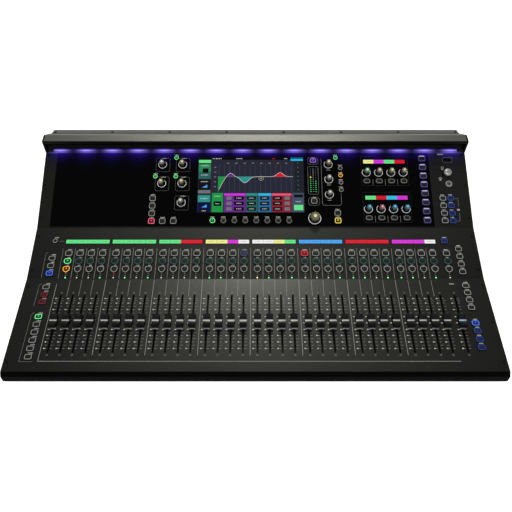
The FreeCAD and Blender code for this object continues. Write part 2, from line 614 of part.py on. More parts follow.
# ---- faders -----------------------------------------------------------------------------------
def fader_cap(x):
    """A cap dished from front to back, with a socket for its stem."""
    low, high = CAP_FLOAT, CAP_FLOAT + CAP_HEIGHT
    front, back = SLOT_MIDDLE - CAP_LENGTH / 2, SLOT_MIDDLE + CAP_LENGTH / 2
    start, end = Vector(x, back - CAP_BATTER, high), Vector(x, front + CAP_BATTER, high)
    rest = Vector(x, SLOT_MIDDLE, CAP_FLOAT + CAP_WAIST)
    edges = [Part.makePolygon([end, Vector(x, front, low), Vector(x, back, low), start])]
    edges.append(Part.Wire(Part.Arc(start, rest, end).toShape()))
    side = Part.Face(Part.Wire(edges[0].Edges + edges[1].Edges))
    body = side.extrude(Vector(CAP_WIDTH, 0, 0)).translated(Vector(-CAP_WIDTH / 2, 0, 0))
    return body.cut(stem(x))


def stem(x):
    """The flat tongue from the track through the slot into the cap."""
    return prism(rectangle((x, SLOT_MIDDLE), (STEM_THICKNESS, STEM_LENGTH)),
                 -STEM_REACH, CAP_FLOAT + STEM_GRIP)


def faders(places):
    """Caps and stems for these channels."""
    return [FADER_DECK.put(piece) for x in places for piece in (fader_cap(x), stem(x))]


def fader_track(x):
    """A motor fader's trough under the panel, with its motor under the back end."""
    bottom = -SHEET - TRACK_DEPTH
    body = prism(rectangle((x, SLOT_MIDDLE), (TRACK_WIDTH, TRACK_LENGTH)), bottom, -SHEET)
    trough = prism(rectangle((x, SLOT_MIDDLE), (SLOT_WIDTH, SLOT_LENGTH)), bottom + SHEET, 0)
    motor = Part.makeCylinder(MOTOR_RADIUS, MOTOR_LENGTH,
                              Vector(x, SLOT_MIDDLE + TRACK_LENGTH / 2 - MOTOR_LENGTH,
                                     bottom - MOTOR_RADIUS + MOTOR_SEAT), Vector(0, 1, 0))
    return FADER_DECK.put(body.fuse(motor).cut(trough))


# ---- keys and knobs ---------------------------------------------------------------------------
def keys(deck, caps, base=0.0):
    """Key caps that stand proud of the face at the base level and stop short of their board."""
    board = SCREEN_BOARD_TOP if deck is SCREEN_DECK else KEY_BOARD_TOP
    low = board + KEY_TRAVEL + KEY_STOP
    return [deck.put(prism(cap.outline(), low, base_level(cap, base) + KEY_RISE)) for cap in caps]


def base_level(cap, base):
    """The face that a key stands out of: the fascia, or the bare panel to its right."""
    return base if cap.spot[0] < FASCIA_RIGHT else 0.0


def knob(spot, skirt, body, height, base=FASCIA):
    """A rotary knob: flared skirt, narrower body, and the encoder shaft inside it."""
    low = base + KNOB_FLOAT
    grip = base + height - SHAFT_COVER
    shaft = tube_of(SHAFT_RADIUS, SCREEN_BOARD_TOP + KEY_STOP, grip, spot)
    profile = [(0, low), (skirt, low), (skirt, low + KNOB_RIM), (body + KNOB_FLARE, base + KNOB_SKIRT_TOP),
               (body, base + height - KNOB_BEVEL), (body - KNOB_BEVEL, base + height), (0, base + height)]
    return [SCREEN_DECK.put(turned(profile, spot).cut(shaft)), SCREEN_DECK.put(shaft)]


def phones_knob():
    """The round level knob on the bare margin of the screen deck."""
    spot = PHONES_KNOB_SPOT
    low, high = KNOB_FLOAT, PHONES_KNOB_HEIGHT
    shaft = tube_of(SHAFT_RADIUS, SCREEN_BOARD_TOP + KEY_STOP, high - SHAFT_COVER - KNOB_BEVEL, spot)
    shoulder = PHONES_KNOB_RADIUS - KNOB_FLARE
    profile = [(0, low), (PHONES_KNOB_RADIUS, low), (shoulder, high - PHONES_KNOB_DOME),
               (shoulder - 2 * KNOB_BEVEL, high - KNOB_BEVEL), (0, high)]
    return [SCREEN_DECK.put(turned(profile, spot).cut(shaft)), SCREEN_DECK.put(shaft)]


def encoder(spot):
    """The encoder body between the panel and its board, bored for the knob's shaft."""
    body = prism(rectangle(spot, (ENCODER_SIZE, ENCODER_SIZE)), SCREEN_BOARD_TOP, -SHEET,
                 [circle(spot, SHAFT_RADIUS + SHAFT_CLEARANCE)])
    return SCREEN_DECK.put(body)


# ---- boards and supply ------------------------------------------------------------------------
def deck_board(deck, low_x, high_x, length, top):
    """A control board on the studs under a deck."""
    spot = ((low_x + high_x) / 2, length / 2)
    return deck.put(prism(rectangle(spot, (high_x - low_x, length - 2 * BOARD_FOLD_GAP)), top - BOARD, top))


def circuit_boards():
    """The boards under the decks, the main board on the floor, and the encoders."""
    edge = HALF - CHEEK - BOARD_EDGE / 2
    boards = [deck_board(KEY_DECK, -edge, edge, KEY_LENGTH, KEY_BOARD_TOP),
              deck_board(SCREEN_DECK, -edge, edge, FASCIA_BACK, SCREEN_BOARD_TOP)]
    for side in (-1, 1):
        low, high = sorted((side * edge, side * (edge - SIDE_BOARD_WIDTH)))
        boards.append(deck_board(FADER_DECK, low, high, FADER_LENGTH, KEY_BOARD_TOP))
    level = FOOT_HEIGHT + SHEET + MAIN_STUD
    boards.append(prism(rectangle(MAIN_BOARD_MIDDLE, MAIN_BOARD), level, level + BOARD))
    return boards + [encoder(spot) for spot in KNOB_SPOTS]


def power_supply():
    """The mains power supply, standing on the floor pan."""
    level = FOOT_HEIGHT + SHEET
    return prism(rectangle(POWER_SUPPLY_MIDDLE, POWER_SUPPLY[:2]), level, level + POWER_SUPPLY[2])


# ---- sockets ----------------------------------------------------------------------------------
INPUT_SPOTS = [(-x, row) for x in spread(INPUT_FIRST_X, XLR_PITCH, INPUT_COLUMNS) for row in XLR_ROWS]
INPUT_SPOTS.append((-SPARE_COLUMN_X, XLR_ROWS[1]))
OUTPUT_SPOTS = [(-x, row) for x in spread(OUTPUT_FIRST_X, XLR_PITCH, OUTPUT_COLUMNS) for row in XLR_ROWS]
OUTPUT_SPOTS.append((-SPARE_COLUMN_X, XLR_ROWS[0]))
PORT_SPOTS = [(-x, PORT_ROW) for x in PORT_X]
LINE_JACK_SPOTS = [(-x, PORT_ROW) for x in LINE_JACK_X]
MAINS_SPOT = (-MAINS_X, MAINS_ROW)


def pin_spots(spot):
    """The three contacts of a microphone socket."""
    return [(spot[0] + XLR_PIN_CIRCLE * math.cos(math.radians(angle)),
             spot[1] + XLR_PIN_CIRCLE * math.sin(math.radians(angle))) for angle in (0, 180, 270)]


def input_socket(spot):
    """A female socket: a ring groove for the plug's shell, and three contact holes."""
    top = XLR_FLANGE_THICKNESS
    groove = circle(spot, XLR_SHELL_OUTER), circle(spot, XLR_SHELL_INNER)
    pins = [circle(pin, XLR_PIN_RADIUS) for pin in pin_spots(spot)]
    flange = prism(rectangle(spot, XLR_FLANGE), 0, top, [groove[0]])
    body = prism(circle(spot, XLR_BODY_RADIUS), -XLR_BODY_DEPTH, 0, [groove[0]])
    floor = tube_of(XLR_SHELL_OUTER, -XLR_BODY_DEPTH, -XLR_GROOVE_DEPTH, spot)
    core = prism(groove[1], -XLR_GROOVE_DEPTH, top, pins)
    return REAR_DECK.put(flange.fuse([body, floor, core]).removeSplitter())


def output_socket(spot):
    """A male socket: an open shell with three pins standing on its floor."""
    top = XLR_FLANGE_THICKNESS
    floor_top = -XLR_BODY_DEPTH + XLR_FLOOR
    flange = prism(rectangle(spot, XLR_FLANGE), 0, top, [circle(spot, XLR_SHELL_OUTER)])
    body = prism(circle(spot, XLR_BODY_RADIUS), -XLR_BODY_DEPTH, 0, [circle(spot, XLR_SHELL_OUTER)])
    floor = tube_of(XLR_SHELL_OUTER, -XLR_BODY_DEPTH, floor_top, spot)
    pins = [tube_of(XLR_PIN_RADIUS, floor_top, floor_top + XLR_PIN_LENGTH, pin) for pin in pin_spots(spot)]
    return REAR_DECK.put(flange.fuse([body, floor] + pins).removeSplitter())


def line_jack(spot):
    """A jack socket through the rear panel, with its round nut outside."""
    bore = [circle(spot, LINE_JACK_RADIUS)]
    nut = prism(circle(spot, LINE_JACK_BODY / 2 + LINE_JACK_LIP), 0, 2 * LINE_JACK_LIP, bore)
    body = prism(circle(spot, LINE_JACK_BODY / 2 - KEY_GAP), -JACK_DEPTH, 0, bore)
    return REAR_DECK.put(nut.fuse(body).removeSplitter())


def phones_jack():
    """The headphone socket on the bare margin of the screen deck, flush but for its ring."""
    bore = [circle(PHONES_JACK_SPOT, JACK_RADIUS)]
    nut = prism(circle(PHONES_JACK_SPOT, JACK_NUT_RADIUS + JACK_NUT_LIP), 0, JACK_NUT_LIP, bore)
    body = prism(circle(PHONES_JACK_SPOT, JACK_NUT_RADIUS - KEY_GAP), SCREEN_BOARD_TOP, 0, bore)
    return SCREEN_DECK.put(nut.fuse(body).removeSplitter())


def usb_port():
    """The memory socket above the phones knob: an open shell."""
    shell = prism(rectangle(USB_SPOT, grown(USB_SLOT, USB_RIM - KEY_GAP)), SCREEN_BOARD_TOP, USB_PROUD)
    mouth = prism(rectangle(USB_SPOT, USB_SLOT), SCREEN_BOARD_TOP + USB_BACK, USB_PROUD)
    return SCREEN_DECK.put(shell.cut(mouth))


def data_port(spot):
    """A network, stage link or computer port in the rear panel."""
    shell = prism(rectangle(spot, grown(PORT_SIZE, -KEY_GAP)), -PORT_DEPTH, PORT_PROUD)
    mouth = prism(rectangle(spot, PORT_MOUTH), -PORT_DEPTH + PORT_BACK, PORT_PROUD)
    return REAR_DECK.put(shell.cut(mouth))


def mains_inlet():
    """The inlet and switch plate, with the inlet's three blades on the floor of its well."""
    top = MAINS_PLATE_THICKNESS
    plate = prism(rectangle(MAINS_SPOT, MAINS_PLATE), 0, top)
    body_size = grown(MAINS_PLATE, -MAINS_PLATE_MARGIN - KEY_GAP)
    body = prism(rectangle(MAINS_SPOT, body_size), -MAINS_BODY_DEPTH, 0)
    well_spot = (MAINS_SPOT[0], MAINS_SPOT[1] - INLET_DROP)
    floor = top - INLET_DEPTH
    well = prism(rectangle(well_spot, INLET_SIZE), floor, top)
    blades = [prism(rectangle((well_spot[0] + dx, well_spot[1] + dy), BLADE_SIZE),
                    floor - BLADE_ROOT, BLADE_TOP) for dx, dy in BLADE_STEPS]
    room = grown((ROCKER_WIDTH, 2 * ROCKER_RADIUS), ROCKER_GAP)
    pocket = prism(rectangle(rocker_spot(), room), -ROCKER_RADIUS - 2 * ROCKER_GAP, top)
    return REAR_DECK.put(plate.fuse(body).cut([well, pocket]).fuse(blades).removeSplitter())


def rocker_spot():
    """The middle of the mains rocker."""
    return MAINS_SPOT[0], MAINS_SPOT[1] + ROCKER_RISE


def mains_switch():
    """The rocker, drawn level and tipped to its off side about its pivot."""
    x, t = rocker_spot()
    radius, half = ROCKER_RADIUS, ROCKER_WIDTH / 2
    disc = Part.makeCylinder(radius, ROCKER_WIDTH, Vector(x - half, t, 0), Vector(1, 0, 0))
    sides = [Vector(x - half, t - radius, -radius), Vector(x - half, t + radius, -radius),
             Vector(x - half, t + radius, ROCKER_EDGE), Vector(x - half, t, ROCKER_WAIST),
             Vector(x - half, t - radius, ROCKER_EDGE)]
    block = Part.Face(ring(sides)).extrude(Vector(ROCKER_WIDTH, 0, 0))
    rocker = disc.common(block)
    rocker.rotate(Vector(x, t, 0), Vector(1, 0, 0), ROCKER_TILT)
    return REAR_DECK.put(rocker)


# ---- the whole console ------------------------------------------------------------------------
DECKS = {"fader": FADER_DECK, "key": KEY_DECK, "screen": SCREEN_DECK}


def console():
    """Every node's solids by name."""
    nodes = {
        "base_tray": [base_tray()],
        "side_cheek_left": [side_cheek(-1)],
        "side_cheek_right": [side_cheek(1)],
        "fader_panel": [fader_panel()],
        "key_panel": [key_panel()],
        "screen_panel": [screen_panel()],
        "gloss_fascia": [gloss_fascia()],
        "hood_bar": hood_bar(),
        "light_bar": [light_bar()],
        "rear_panel": [rear_panel()],
        "panel_screws": panel_screws(),
        "feet": feet(),
        "touchscreen": [touchscreen()],
        "channel_displays": channel_displays(),
        "fader_tracks": [fader_track(x) for x in ALL_CHANNELS],
        "circuit_boards": circuit_boards(),
        "power_supply": [power_supply()],
        "input_sockets": [input_socket(spot) for spot in INPUT_SPOTS],
        "output_sockets": [output_socket(spot) for spot in OUTPUT_SPOTS],
        "jack_sockets": [line_jack(spot) for spot in LINE_JACK_SPOTS] + [phones_jack()],
        "data_ports": [data_port(spot) for spot in PORT_SPOTS] + [usb_port()],
        "mains_inlet": [mains_inlet()],
        "mains_switch": [mains_switch()],
        "master_fader": faders([MASTER_X]),
        "fader_deck_keys": keys(FADER_DECK, FADER_DECK_KEYS),
        "side_keys": keys(KEY_DECK, SIDE_DECK_KEYS),
        "large_rotary": knob(BIG_KNOB_SPOT, BIG_KNOB_SKIRT, BIG_KNOB_BODY, KNOB_HEIGHT),
        "phones_knob": phones_knob(),
    }
    for bank in range(BANKS):
        nodes[f"fader_bank_{bank + 1}"] = faders(bank_channels(bank))
    for name, caps in CHANNEL_KEYS.items():
        nodes[name] = keys(KEY_DECK, caps)
    for name, caps in SCREEN_DECK_KEYS.items():
        nodes[name] = keys(SCREEN_DECK, caps, FASCIA)
    for name, spot in STRIP_KNOBS.items():
        nodes[name] = knob(spot, KNOB_SKIRT_RADIUS, KNOB_BODY_RADIUS, KNOB_HEIGHT)
    for number, spot in enumerate(SOFT_ROTARIES, 1):
        nodes[f"soft_rotary_{number}"] = knob(spot, KNOB_SKIRT_RADIUS, KNOB_BODY_RADIUS, KNOB_HEIGHT)
    return nodes


def main():
    """Builds every node and writes it to its own file."""
    os.makedirs("parts", exist_ok=True)
    for name, solids in console().items():
        solids = [solid for shape in solids for solid in shape.Solids]
        for solid in solids:
            if not solid.isValid() or solid.Volume <= 0:
                raise ValueError(name + " has a bad solid")
        Part.makeCompound(solids).exportStep(f"parts/{name}.step")
        print(name, len(solids))


if __name__ == "__main__":
    main()
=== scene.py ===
"""Looks of a digital mixing console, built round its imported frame.

Blender counts in metres, with X to the right, Y to the back and Z up. What is drawn on a panel is given
in millimetres in that panel's own frame: x across, t up its slope and h out of its face.
"""

import json
import logging
import math
from dataclasses import dataclass, field
from enum import Enum, IntEnum

import bpy
import numpy as np
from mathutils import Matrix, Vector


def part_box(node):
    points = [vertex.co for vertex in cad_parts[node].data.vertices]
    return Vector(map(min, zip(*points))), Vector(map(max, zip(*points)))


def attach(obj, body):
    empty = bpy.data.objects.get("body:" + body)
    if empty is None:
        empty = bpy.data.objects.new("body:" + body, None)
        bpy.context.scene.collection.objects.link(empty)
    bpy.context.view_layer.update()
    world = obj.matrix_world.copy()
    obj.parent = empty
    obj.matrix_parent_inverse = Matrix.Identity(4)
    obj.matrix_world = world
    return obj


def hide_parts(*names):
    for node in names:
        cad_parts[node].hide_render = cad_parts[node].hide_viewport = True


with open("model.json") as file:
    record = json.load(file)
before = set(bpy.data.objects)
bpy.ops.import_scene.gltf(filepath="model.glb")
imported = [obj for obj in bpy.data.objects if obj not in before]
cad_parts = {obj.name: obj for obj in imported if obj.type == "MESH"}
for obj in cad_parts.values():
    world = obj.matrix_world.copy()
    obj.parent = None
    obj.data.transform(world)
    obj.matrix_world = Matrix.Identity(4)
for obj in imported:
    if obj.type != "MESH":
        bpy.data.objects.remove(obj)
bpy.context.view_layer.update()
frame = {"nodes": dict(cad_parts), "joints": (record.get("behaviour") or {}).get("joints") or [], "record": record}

LOG = logging.getLogger("console")
MM = 0.001
NODES = frame["nodes"]
JOINTS = {joint["name"]: joint for joint in frame["joints"]}
BANKS = [f"fader_bank_{number}" for number in range(1, 9)]
INK_RISE = 0.06                  # a screen print or a lit window stands this proud, in millimetres
HAIR = 0.02                      # least step between two faces that would else share a plane
NOISE_LOW, NOISE_HIGH = 0.3, 0.7   # nearly all of a noise texture's values lie between these


# ---- colours -----------------------------------------------------------------------------------
def linear(colour: str) -> tuple[float, float, float, float]:
    """Turns an sRGB hex colour to linear light.

    Args:
        colour: a hex colour such as "#6cf390".

    Returns:
        Red, green, blue and an alpha of one.
    """
    parts = [int(colour[start:start + 2], 16) / 255 for start in (1, 3, 5)]
    return tuple(p / 12.92 if p <= 0.04045 else ((p + 0.055) / 1.055) ** 2.4 for p in parts) + (1.0,)


class Ink(Enum):
    """Colours of the panels' print and of the lamps and screens behind them."""

    PAPER = "#ffffff"
    WHITE = "#e2e2de"
    PALE = "#a9a9a5"
    LINE = "#8b8b86"
    FAINT = "#66665f"
    DARK = "#141417"
    BLACK = "#050506"
    GREEN = "#6cf390"
    DEEP_GREEN = "#1f9f4a"
    LEAF = "#2f8f58"
    TEAL = "#2f9d94"
    DIM_TEAL = "#2b6a64"
    CYAN = "#35c8f0"
    BLUE = "#4fb0ff"
    KEY_BLUE = "#4a76ff"
    NIGHT_BLUE = "#2c4fb8"
    VIOLET = "#544c92"
    LILAC = "#b9b2ea"
    PURPLE = "#a566ff"
    PLUM = "#6d2f92"
    MAGENTA = "#e838e8"
    RED = "#e8192c"
    DIM_RED = "#a0163c"
    MAROON = "#8e2434"
    PINK = "#ff5c80"
    ORANGE = "#ffab3a"
    YELLOW = "#ffff9a"
    LEMON = "#ffe24a"
    SLATE = "#2b2b3a"
    DUSK = "#23232e"
    MIDNIGHT = "#0d1444"
    INDIGO = "#2f6f9c"
    STEEL_BLUE = "#46566c"
    DEEP_TEAL = "#0a6f8f"
    MINT = "#b8ffc8"
    GREY = "#77777c"
    SAND = "#e6dfb0"
    SKY = "#6fc0ea"
    ROSE = "#f0a0ac"


# ---- frames ------------------------------------------------------------------------------------
@dataclass(frozen=True)
class Deck:
    """A flat panel's own frame, in millimetres: x across, t up the slope, h out of its face."""

    corner: tuple[float, float]
    normal: tuple[float, float]
    across: float = 1.0

    @property
    def axes(self) -> np.ndarray:
        """Works out the unit steps of x, t and h in the world.

        Returns:
            The three steps, one to a row.
        """
        out = np.array([0.0, *self.normal])
        side = np.array([self.across, 0.0, 0.0])
        return np.array([side, np.cross(out, side), out])

    @property
    def origin(self) -> np.ndarray:
        """The world place of x = t = h = 0, in metres."""
        return np.array([0.0, *self.corner])

    def place(self, points: np.ndarray) -> np.ndarray:
        """Deck points in millimetres to world points in metres: corner plus x, t and h steps."""
        return np.asarray(points, float) * MM @ self.axes + self.origin

    def locate(self, points: np.ndarray) -> np.ndarray:
        """World points in metres to deck points in millimetres."""
        return (np.asarray(points, float) - self.origin) @ self.axes.T / MM


def pressed(joint: str) -> tuple[float, float]:
    """The Y and Z of the unit step out of the face that this press joint goes into."""
    _, y, z = JOINTS[joint]["axis"]
    return -y, -z


REAR_LEAN = math.radians(12.3)
FADER_DECK = Deck((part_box("fader_panel")[0].y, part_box("base_tray")[1].z), pressed("fader_deck_keys_press"))
KEY_DECK = Deck((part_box("key_panel")[0].y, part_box("fader_panel")[1].z), pressed("side_keys_press"))
SCREEN_DECK = Deck((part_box("screen_panel")[0].y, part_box("key_panel")[1].z), pressed("soft_keys_press"))
REAR_DECK = Deck((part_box("rear_panel")[1].y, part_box("rear_panel")[0].z),
                 (math.cos(REAR_LEAN), math.sin(REAR_LEAN)), -1.0)


@dataclass(frozen=True)
class Seat:
    """One solid of a CAD node as a box in its deck's frame, in millimetres."""

    x: float
    t: float
    width: float
    length: float
    low: float
    top: float


def node_points(node: str) -> np.ndarray:
    """Reads the vertices of a CAD node's mesh.

    Args:
        node: the CAD node's name.

    Returns:
        The points in metres, one to a row.
    """
    mesh = NODES[node].data
    points = np.zeros(len(mesh.vertices) * 3, np.float32)
    mesh.vertices.foreach_get("co", points)
    return points.reshape(-1, 3).astype(float)


def seats(node: str, deck: Deck) -> list[Seat]:
    """Finds each separate solid of a CAD node.

    Points at one place count as one. Each takes the lowest number found on its triangles, again and
    again, until a solid's points all share one number.

    Args:
        node: the CAD node's name.
        deck: the frame to measure in.

    Returns:
        The solids' boxes, from left to right and then up the deck.
    """
    points = node_points(node)
    mesh = NODES[node].data
    mesh.calc_loop_triangles()
    corners = np.zeros(len(mesh.loop_triangles) * 3, np.int32)
    mesh.loop_triangles.foreach_get("vertices", corners)
    _, first, index = np.unique(np.round(points / (MM * MM)).astype(np.int64), axis=0,
                                return_index=True, return_inverse=True)
    triangles = index.reshape(-1)[corners].reshape(-1, 3)
    label = np.arange(len(first))
    settled = False
    while not settled:
        before = label.copy()
        np.minimum.at(label, triangles.ravel(), np.repeat(label[triangles].min(axis=1), 3))
        label = label[label]
        settled = np.array_equal(before, label)
    local = deck.locate(points[first])
    found = []
    for number in np.unique(label):
        own = local[label == number]
        low, high = own.min(axis=0), own.max(axis=0)
        size, middle = high - low, (low + high) / 2
        found.append(Seat(middle[0], middle[1], size[0], size[1], low[2], high[2]))
    return sorted(found, key=lambda seat: (round(seat.x, 1), seat.t))


# ---- outlines ----------------------------------------------------------------------------------
def circle(radius: float, count: int) -> np.ndarray:
    """Points round a circle: radius times the cosine and sine of evenly spaced turns."""
    turn = np.linspace(0, 2 * math.pi, count, endpoint=False)
    return radius * np.stack([np.cos(turn), np.sin(turn)], axis=1)


def arc(radius: float, start: float, stop: float, count: int) -> np.ndarray:
    """Points along an arc between two angles in degrees."""
    turn = np.radians(np.linspace(start, stop, count))
    return radius * np.stack([np.cos(turn), np.sin(turn)], axis=1)


def superellipse(width: float, length: float, power: float, count: int) -> np.ndarray:
    """Points of |x / a| to a power plus |t / b| to that power = 1, with half sides a and b.

    Args:
        width: twice a.
        length: twice b.
        power: two for an ellipse, and more for squarer corners.
        count: number of points.

    Returns:
        x and t of the points.
    """
    turn = np.linspace(0, 2 * math.pi, count, endpoint=False) + math.pi / count
    run, rise = np.cos(turn), np.sin(turn)
    return np.stack([width / 2 * np.sign(run) * np.abs(run) ** (2 / power),
                     length / 2 * np.sign(rise) * np.abs(rise) ** (2 / power)], axis=1)


def round_corners(width: float, length: float, corner: float, steps: int = 4) -> np.ndarray:
    """A rectangle whose corners are quarter circles: each quarter's centre plus a turning radius.

    Args:
        width: size across.
        length: size up the deck.
        corner: radius of the corners.
        steps: points in each corner.

    Returns:
        x and t of the points.
    """
    turn = np.radians(np.add.outer(np.arange(4) * 90.0, np.linspace(0, 90, steps))).ravel()
    quarter = np.repeat(np.arange(4), steps)
    centre = np.array([[1, 1], [-1, 1], [-1, -1], [1, -1]])[quarter]
    reach = np.array([width / 2 - corner, length / 2 - corner])
    return centre * reach + corner * np.stack([np.cos(turn), np.sin(turn)], axis=1)


def box_outline(width: float, length: float) -> np.ndarray:
    """The four corners of a rectangle."""
    return np.array([[-1, -1], [1, -1], [1, 1], [-1, 1]]) * np.array([width, length]) / 2


class KeyShape(Enum):
    """Shapes of the light guides in the key caps."""

    SQUARE = 5.0
    OVAL = 2.7
    ROUND = 2.0
    SHIELD = 3.2

    def outline(self, width: float, length: float, count: int = 20) -> np.ndarray:
        """The guide's middle line: a superellipse, which a shield draws out to a point below.

        Args:
            width: size across.
            length: size up the deck.
            count: number of points.

        Returns:
            x and t of the points.
        """
        points = superellipse(width, length, self.value, count)
        if self is KeyShape.SHIELD:
            narrow, drop = 0.45, 0.14
            below = np.clip(-points[:, 1] / (length / 2), 0, 1)
            points[:, 0] *= 1 - narrow * below ** 2
            points[:, 1] -= drop * length * below ** 3
        return points


# ---- meshes ------------------------------------------------------------------------------------
def ribbon(path: np.ndarray, width: float, low: float, high: float,
           closed: bool) -> tuple[np.ndarray, list[list[int]]]:
    """A flat bar of even width along a path.

    Each point steps to both sides by half the width along the mean of its two runs' normals, made
    longer by one over one plus their product, so that the bar keeps its width round a corner.

    Args:
        path: x and t of the points.
        width: width of the bar.
        low: level of its underside.
        high: level of its face.
        closed: whether the last point joins the first.

    Returns:
        Points, four to a section, and faces.
    """
    path = np.asarray(path, float)
    after = np.roll(path, -1, axis=0) - path
    after /= np.linalg.norm(after, axis=1, keepdims=True)
    before = np.roll(after, 1, axis=0)
    if not closed:
        after[-1] = before[-1]
        before[0] = after[0]
    normal = np.stack([-(before + after)[:, 1], (before + after)[:, 0]], axis=1)
    side = normal / (1 + (before * after).sum(axis=1, keepdims=True)) * width / 2
    flat = np.stack([path + side, path - side, path - side, path + side], axis=1)
    level = np.broadcast_to(np.array([low, low, high, high])[None, :, None], flat.shape[:2] + (1,))
    points = np.concatenate([flat, level], axis=2).reshape(-1, 3)
    count = len(path)
    here = np.arange(count if closed else count - 1)[:, None] * 4
    there = (here + 4) % (4 * count)
    turn, follow = np.arange(4)[None, :], (np.arange(4)[None, :] + 1) % 4
    faces = np.stack([here + turn, there + turn, there + follow, here + follow], axis=2)
    faces = faces.reshape(-1, 4).tolist()
    if not closed:
        faces += [[0, 1, 2, 3], [4 * count - 1, 4 * count - 2, 4 * count - 3, 4 * count - 4]]
    return points, faces


def loft(sections: np.ndarray) -> tuple[np.ndarray, list[list[int]]]:
    """A closed shell through rings of points, with a flat face over the first and the last.

    Args:
        sections: rings, points and coordinates, each ring anticlockwise seen from the last one's side.

    Returns:
        Points and faces.
    """
    rings, count = sections.shape[:2]
    here = np.arange(rings - 1)[:, None] * count
    turn = np.arange(count)[None, :]
    follow = (turn + 1) % count
    faces = np.stack([here + turn, here + follow, here + count + follow, here + count + turn], axis=2)
    caps = [list(range(count))[::-1], list(range((rings - 1) * count, rings * count))]
    return sections.reshape(-1, 3), faces.reshape(-1, 4).tolist() + caps


def raised(outline: np.ndarray, levels: list[tuple[float, float]]) -> np.ndarray:
    """An outline's rings: scaled by the first number of each level and lifted by the second.

    Args:
        outline: x and t of the points.
        levels: scale and height of each ring, from the foot up.

    Returns:
        Rings, points and coordinates.
    """
    scale, height = np.array(levels).T
    flat = outline[None] * scale[:, None, None]
    level = np.broadcast_to(height[:, None, None], flat.shape[:2] + (1,))
    return np.concatenate([flat, level], axis=2)


@dataclass
class Form:
    """A piece in the making: surfaces on one deck, with each face's material slot and colour."""

    deck: Deck
    points: list[np.ndarray] = field(default_factory=list)
    faces: list[list[int]] = field(default_factory=list)
    slots: list[int] = field(default_factory=list)
    colours: list[tuple[str, float]] = field(default_factory=list)
    count: int = 0

    def add(self, shape: tuple[np.ndarray, list[list[int]]], spot: tuple[float, float] = (0.0, 0.0),
            slot: int | list[int] = 0, ink: Ink = Ink.BLACK, shade: float = 1.0) -> None:
        """Adds a surface.

        Args:
            shape: points and faces in millimetres.
            spot: x and t that its own centre goes to.
            slot: material slot of all its faces, or of each.
            ink: its colour.
            shade: the share of the ink's light that it gives.
        """
        points, faces = shape
        self.points.append(points + np.array([spot[0], spot[1], 0.0]))
        self.faces += [[corner + self.count for corner in face] for face in faces]
        self.slots += [slot] * len(faces) if isinstance(slot, int) else slot
        self.colours += [(ink.value, shade)] * len(faces)
        self.count += len(points)

    def build(self, name: str, finishes: list["Finish"], smooth: float | None = None) -> bpy.types.Object:
        """Makes the mesh object.

        Args:
            name: the piece's name.
            finishes: one for each material slot.
            smooth: angle in degrees past which an edge stays sharp, or None for flat faces.

        Returns:
            The object, in place.
        """
        mesh = bpy.data.meshes.new(name)
        mesh.from_pydata(self.deck.place(np.concatenate(self.points)), [], self.faces)
        for finish in finishes:
            mesh.materials.append(finish.material())
        mesh.polygons.foreach_set("material_index", np.array(self.slots, np.int32))
        palette = {pair: [part * pair[1] for part in linear(pair[0])[:3]] + [1.0]
                   for pair in set(self.colours)}
        shades = np.array([palette[colour] for colour in self.colours], np.float32)
        corners = np.array([len(face) for face in self.faces])
        layer = mesh.color_attributes.new("ink", "FLOAT_COLOR", "CORNER")
        layer.data.foreach_set("color", np.repeat(shades, corners, axis=0).ravel())
        if smooth is not None:
            mesh.polygons.foreach_set("use_smooth", np.ones(len(self.faces), bool))
            mesh.set_sharp_from_angle(angle=math.radians(smooth))
        mesh.update()
        piece = bpy.data.objects.new(name, mesh)
        bpy.context.scene.collection.objects.link(piece)
        LOG.info("%s: %d faces", name, len(self.faces))
        return piece


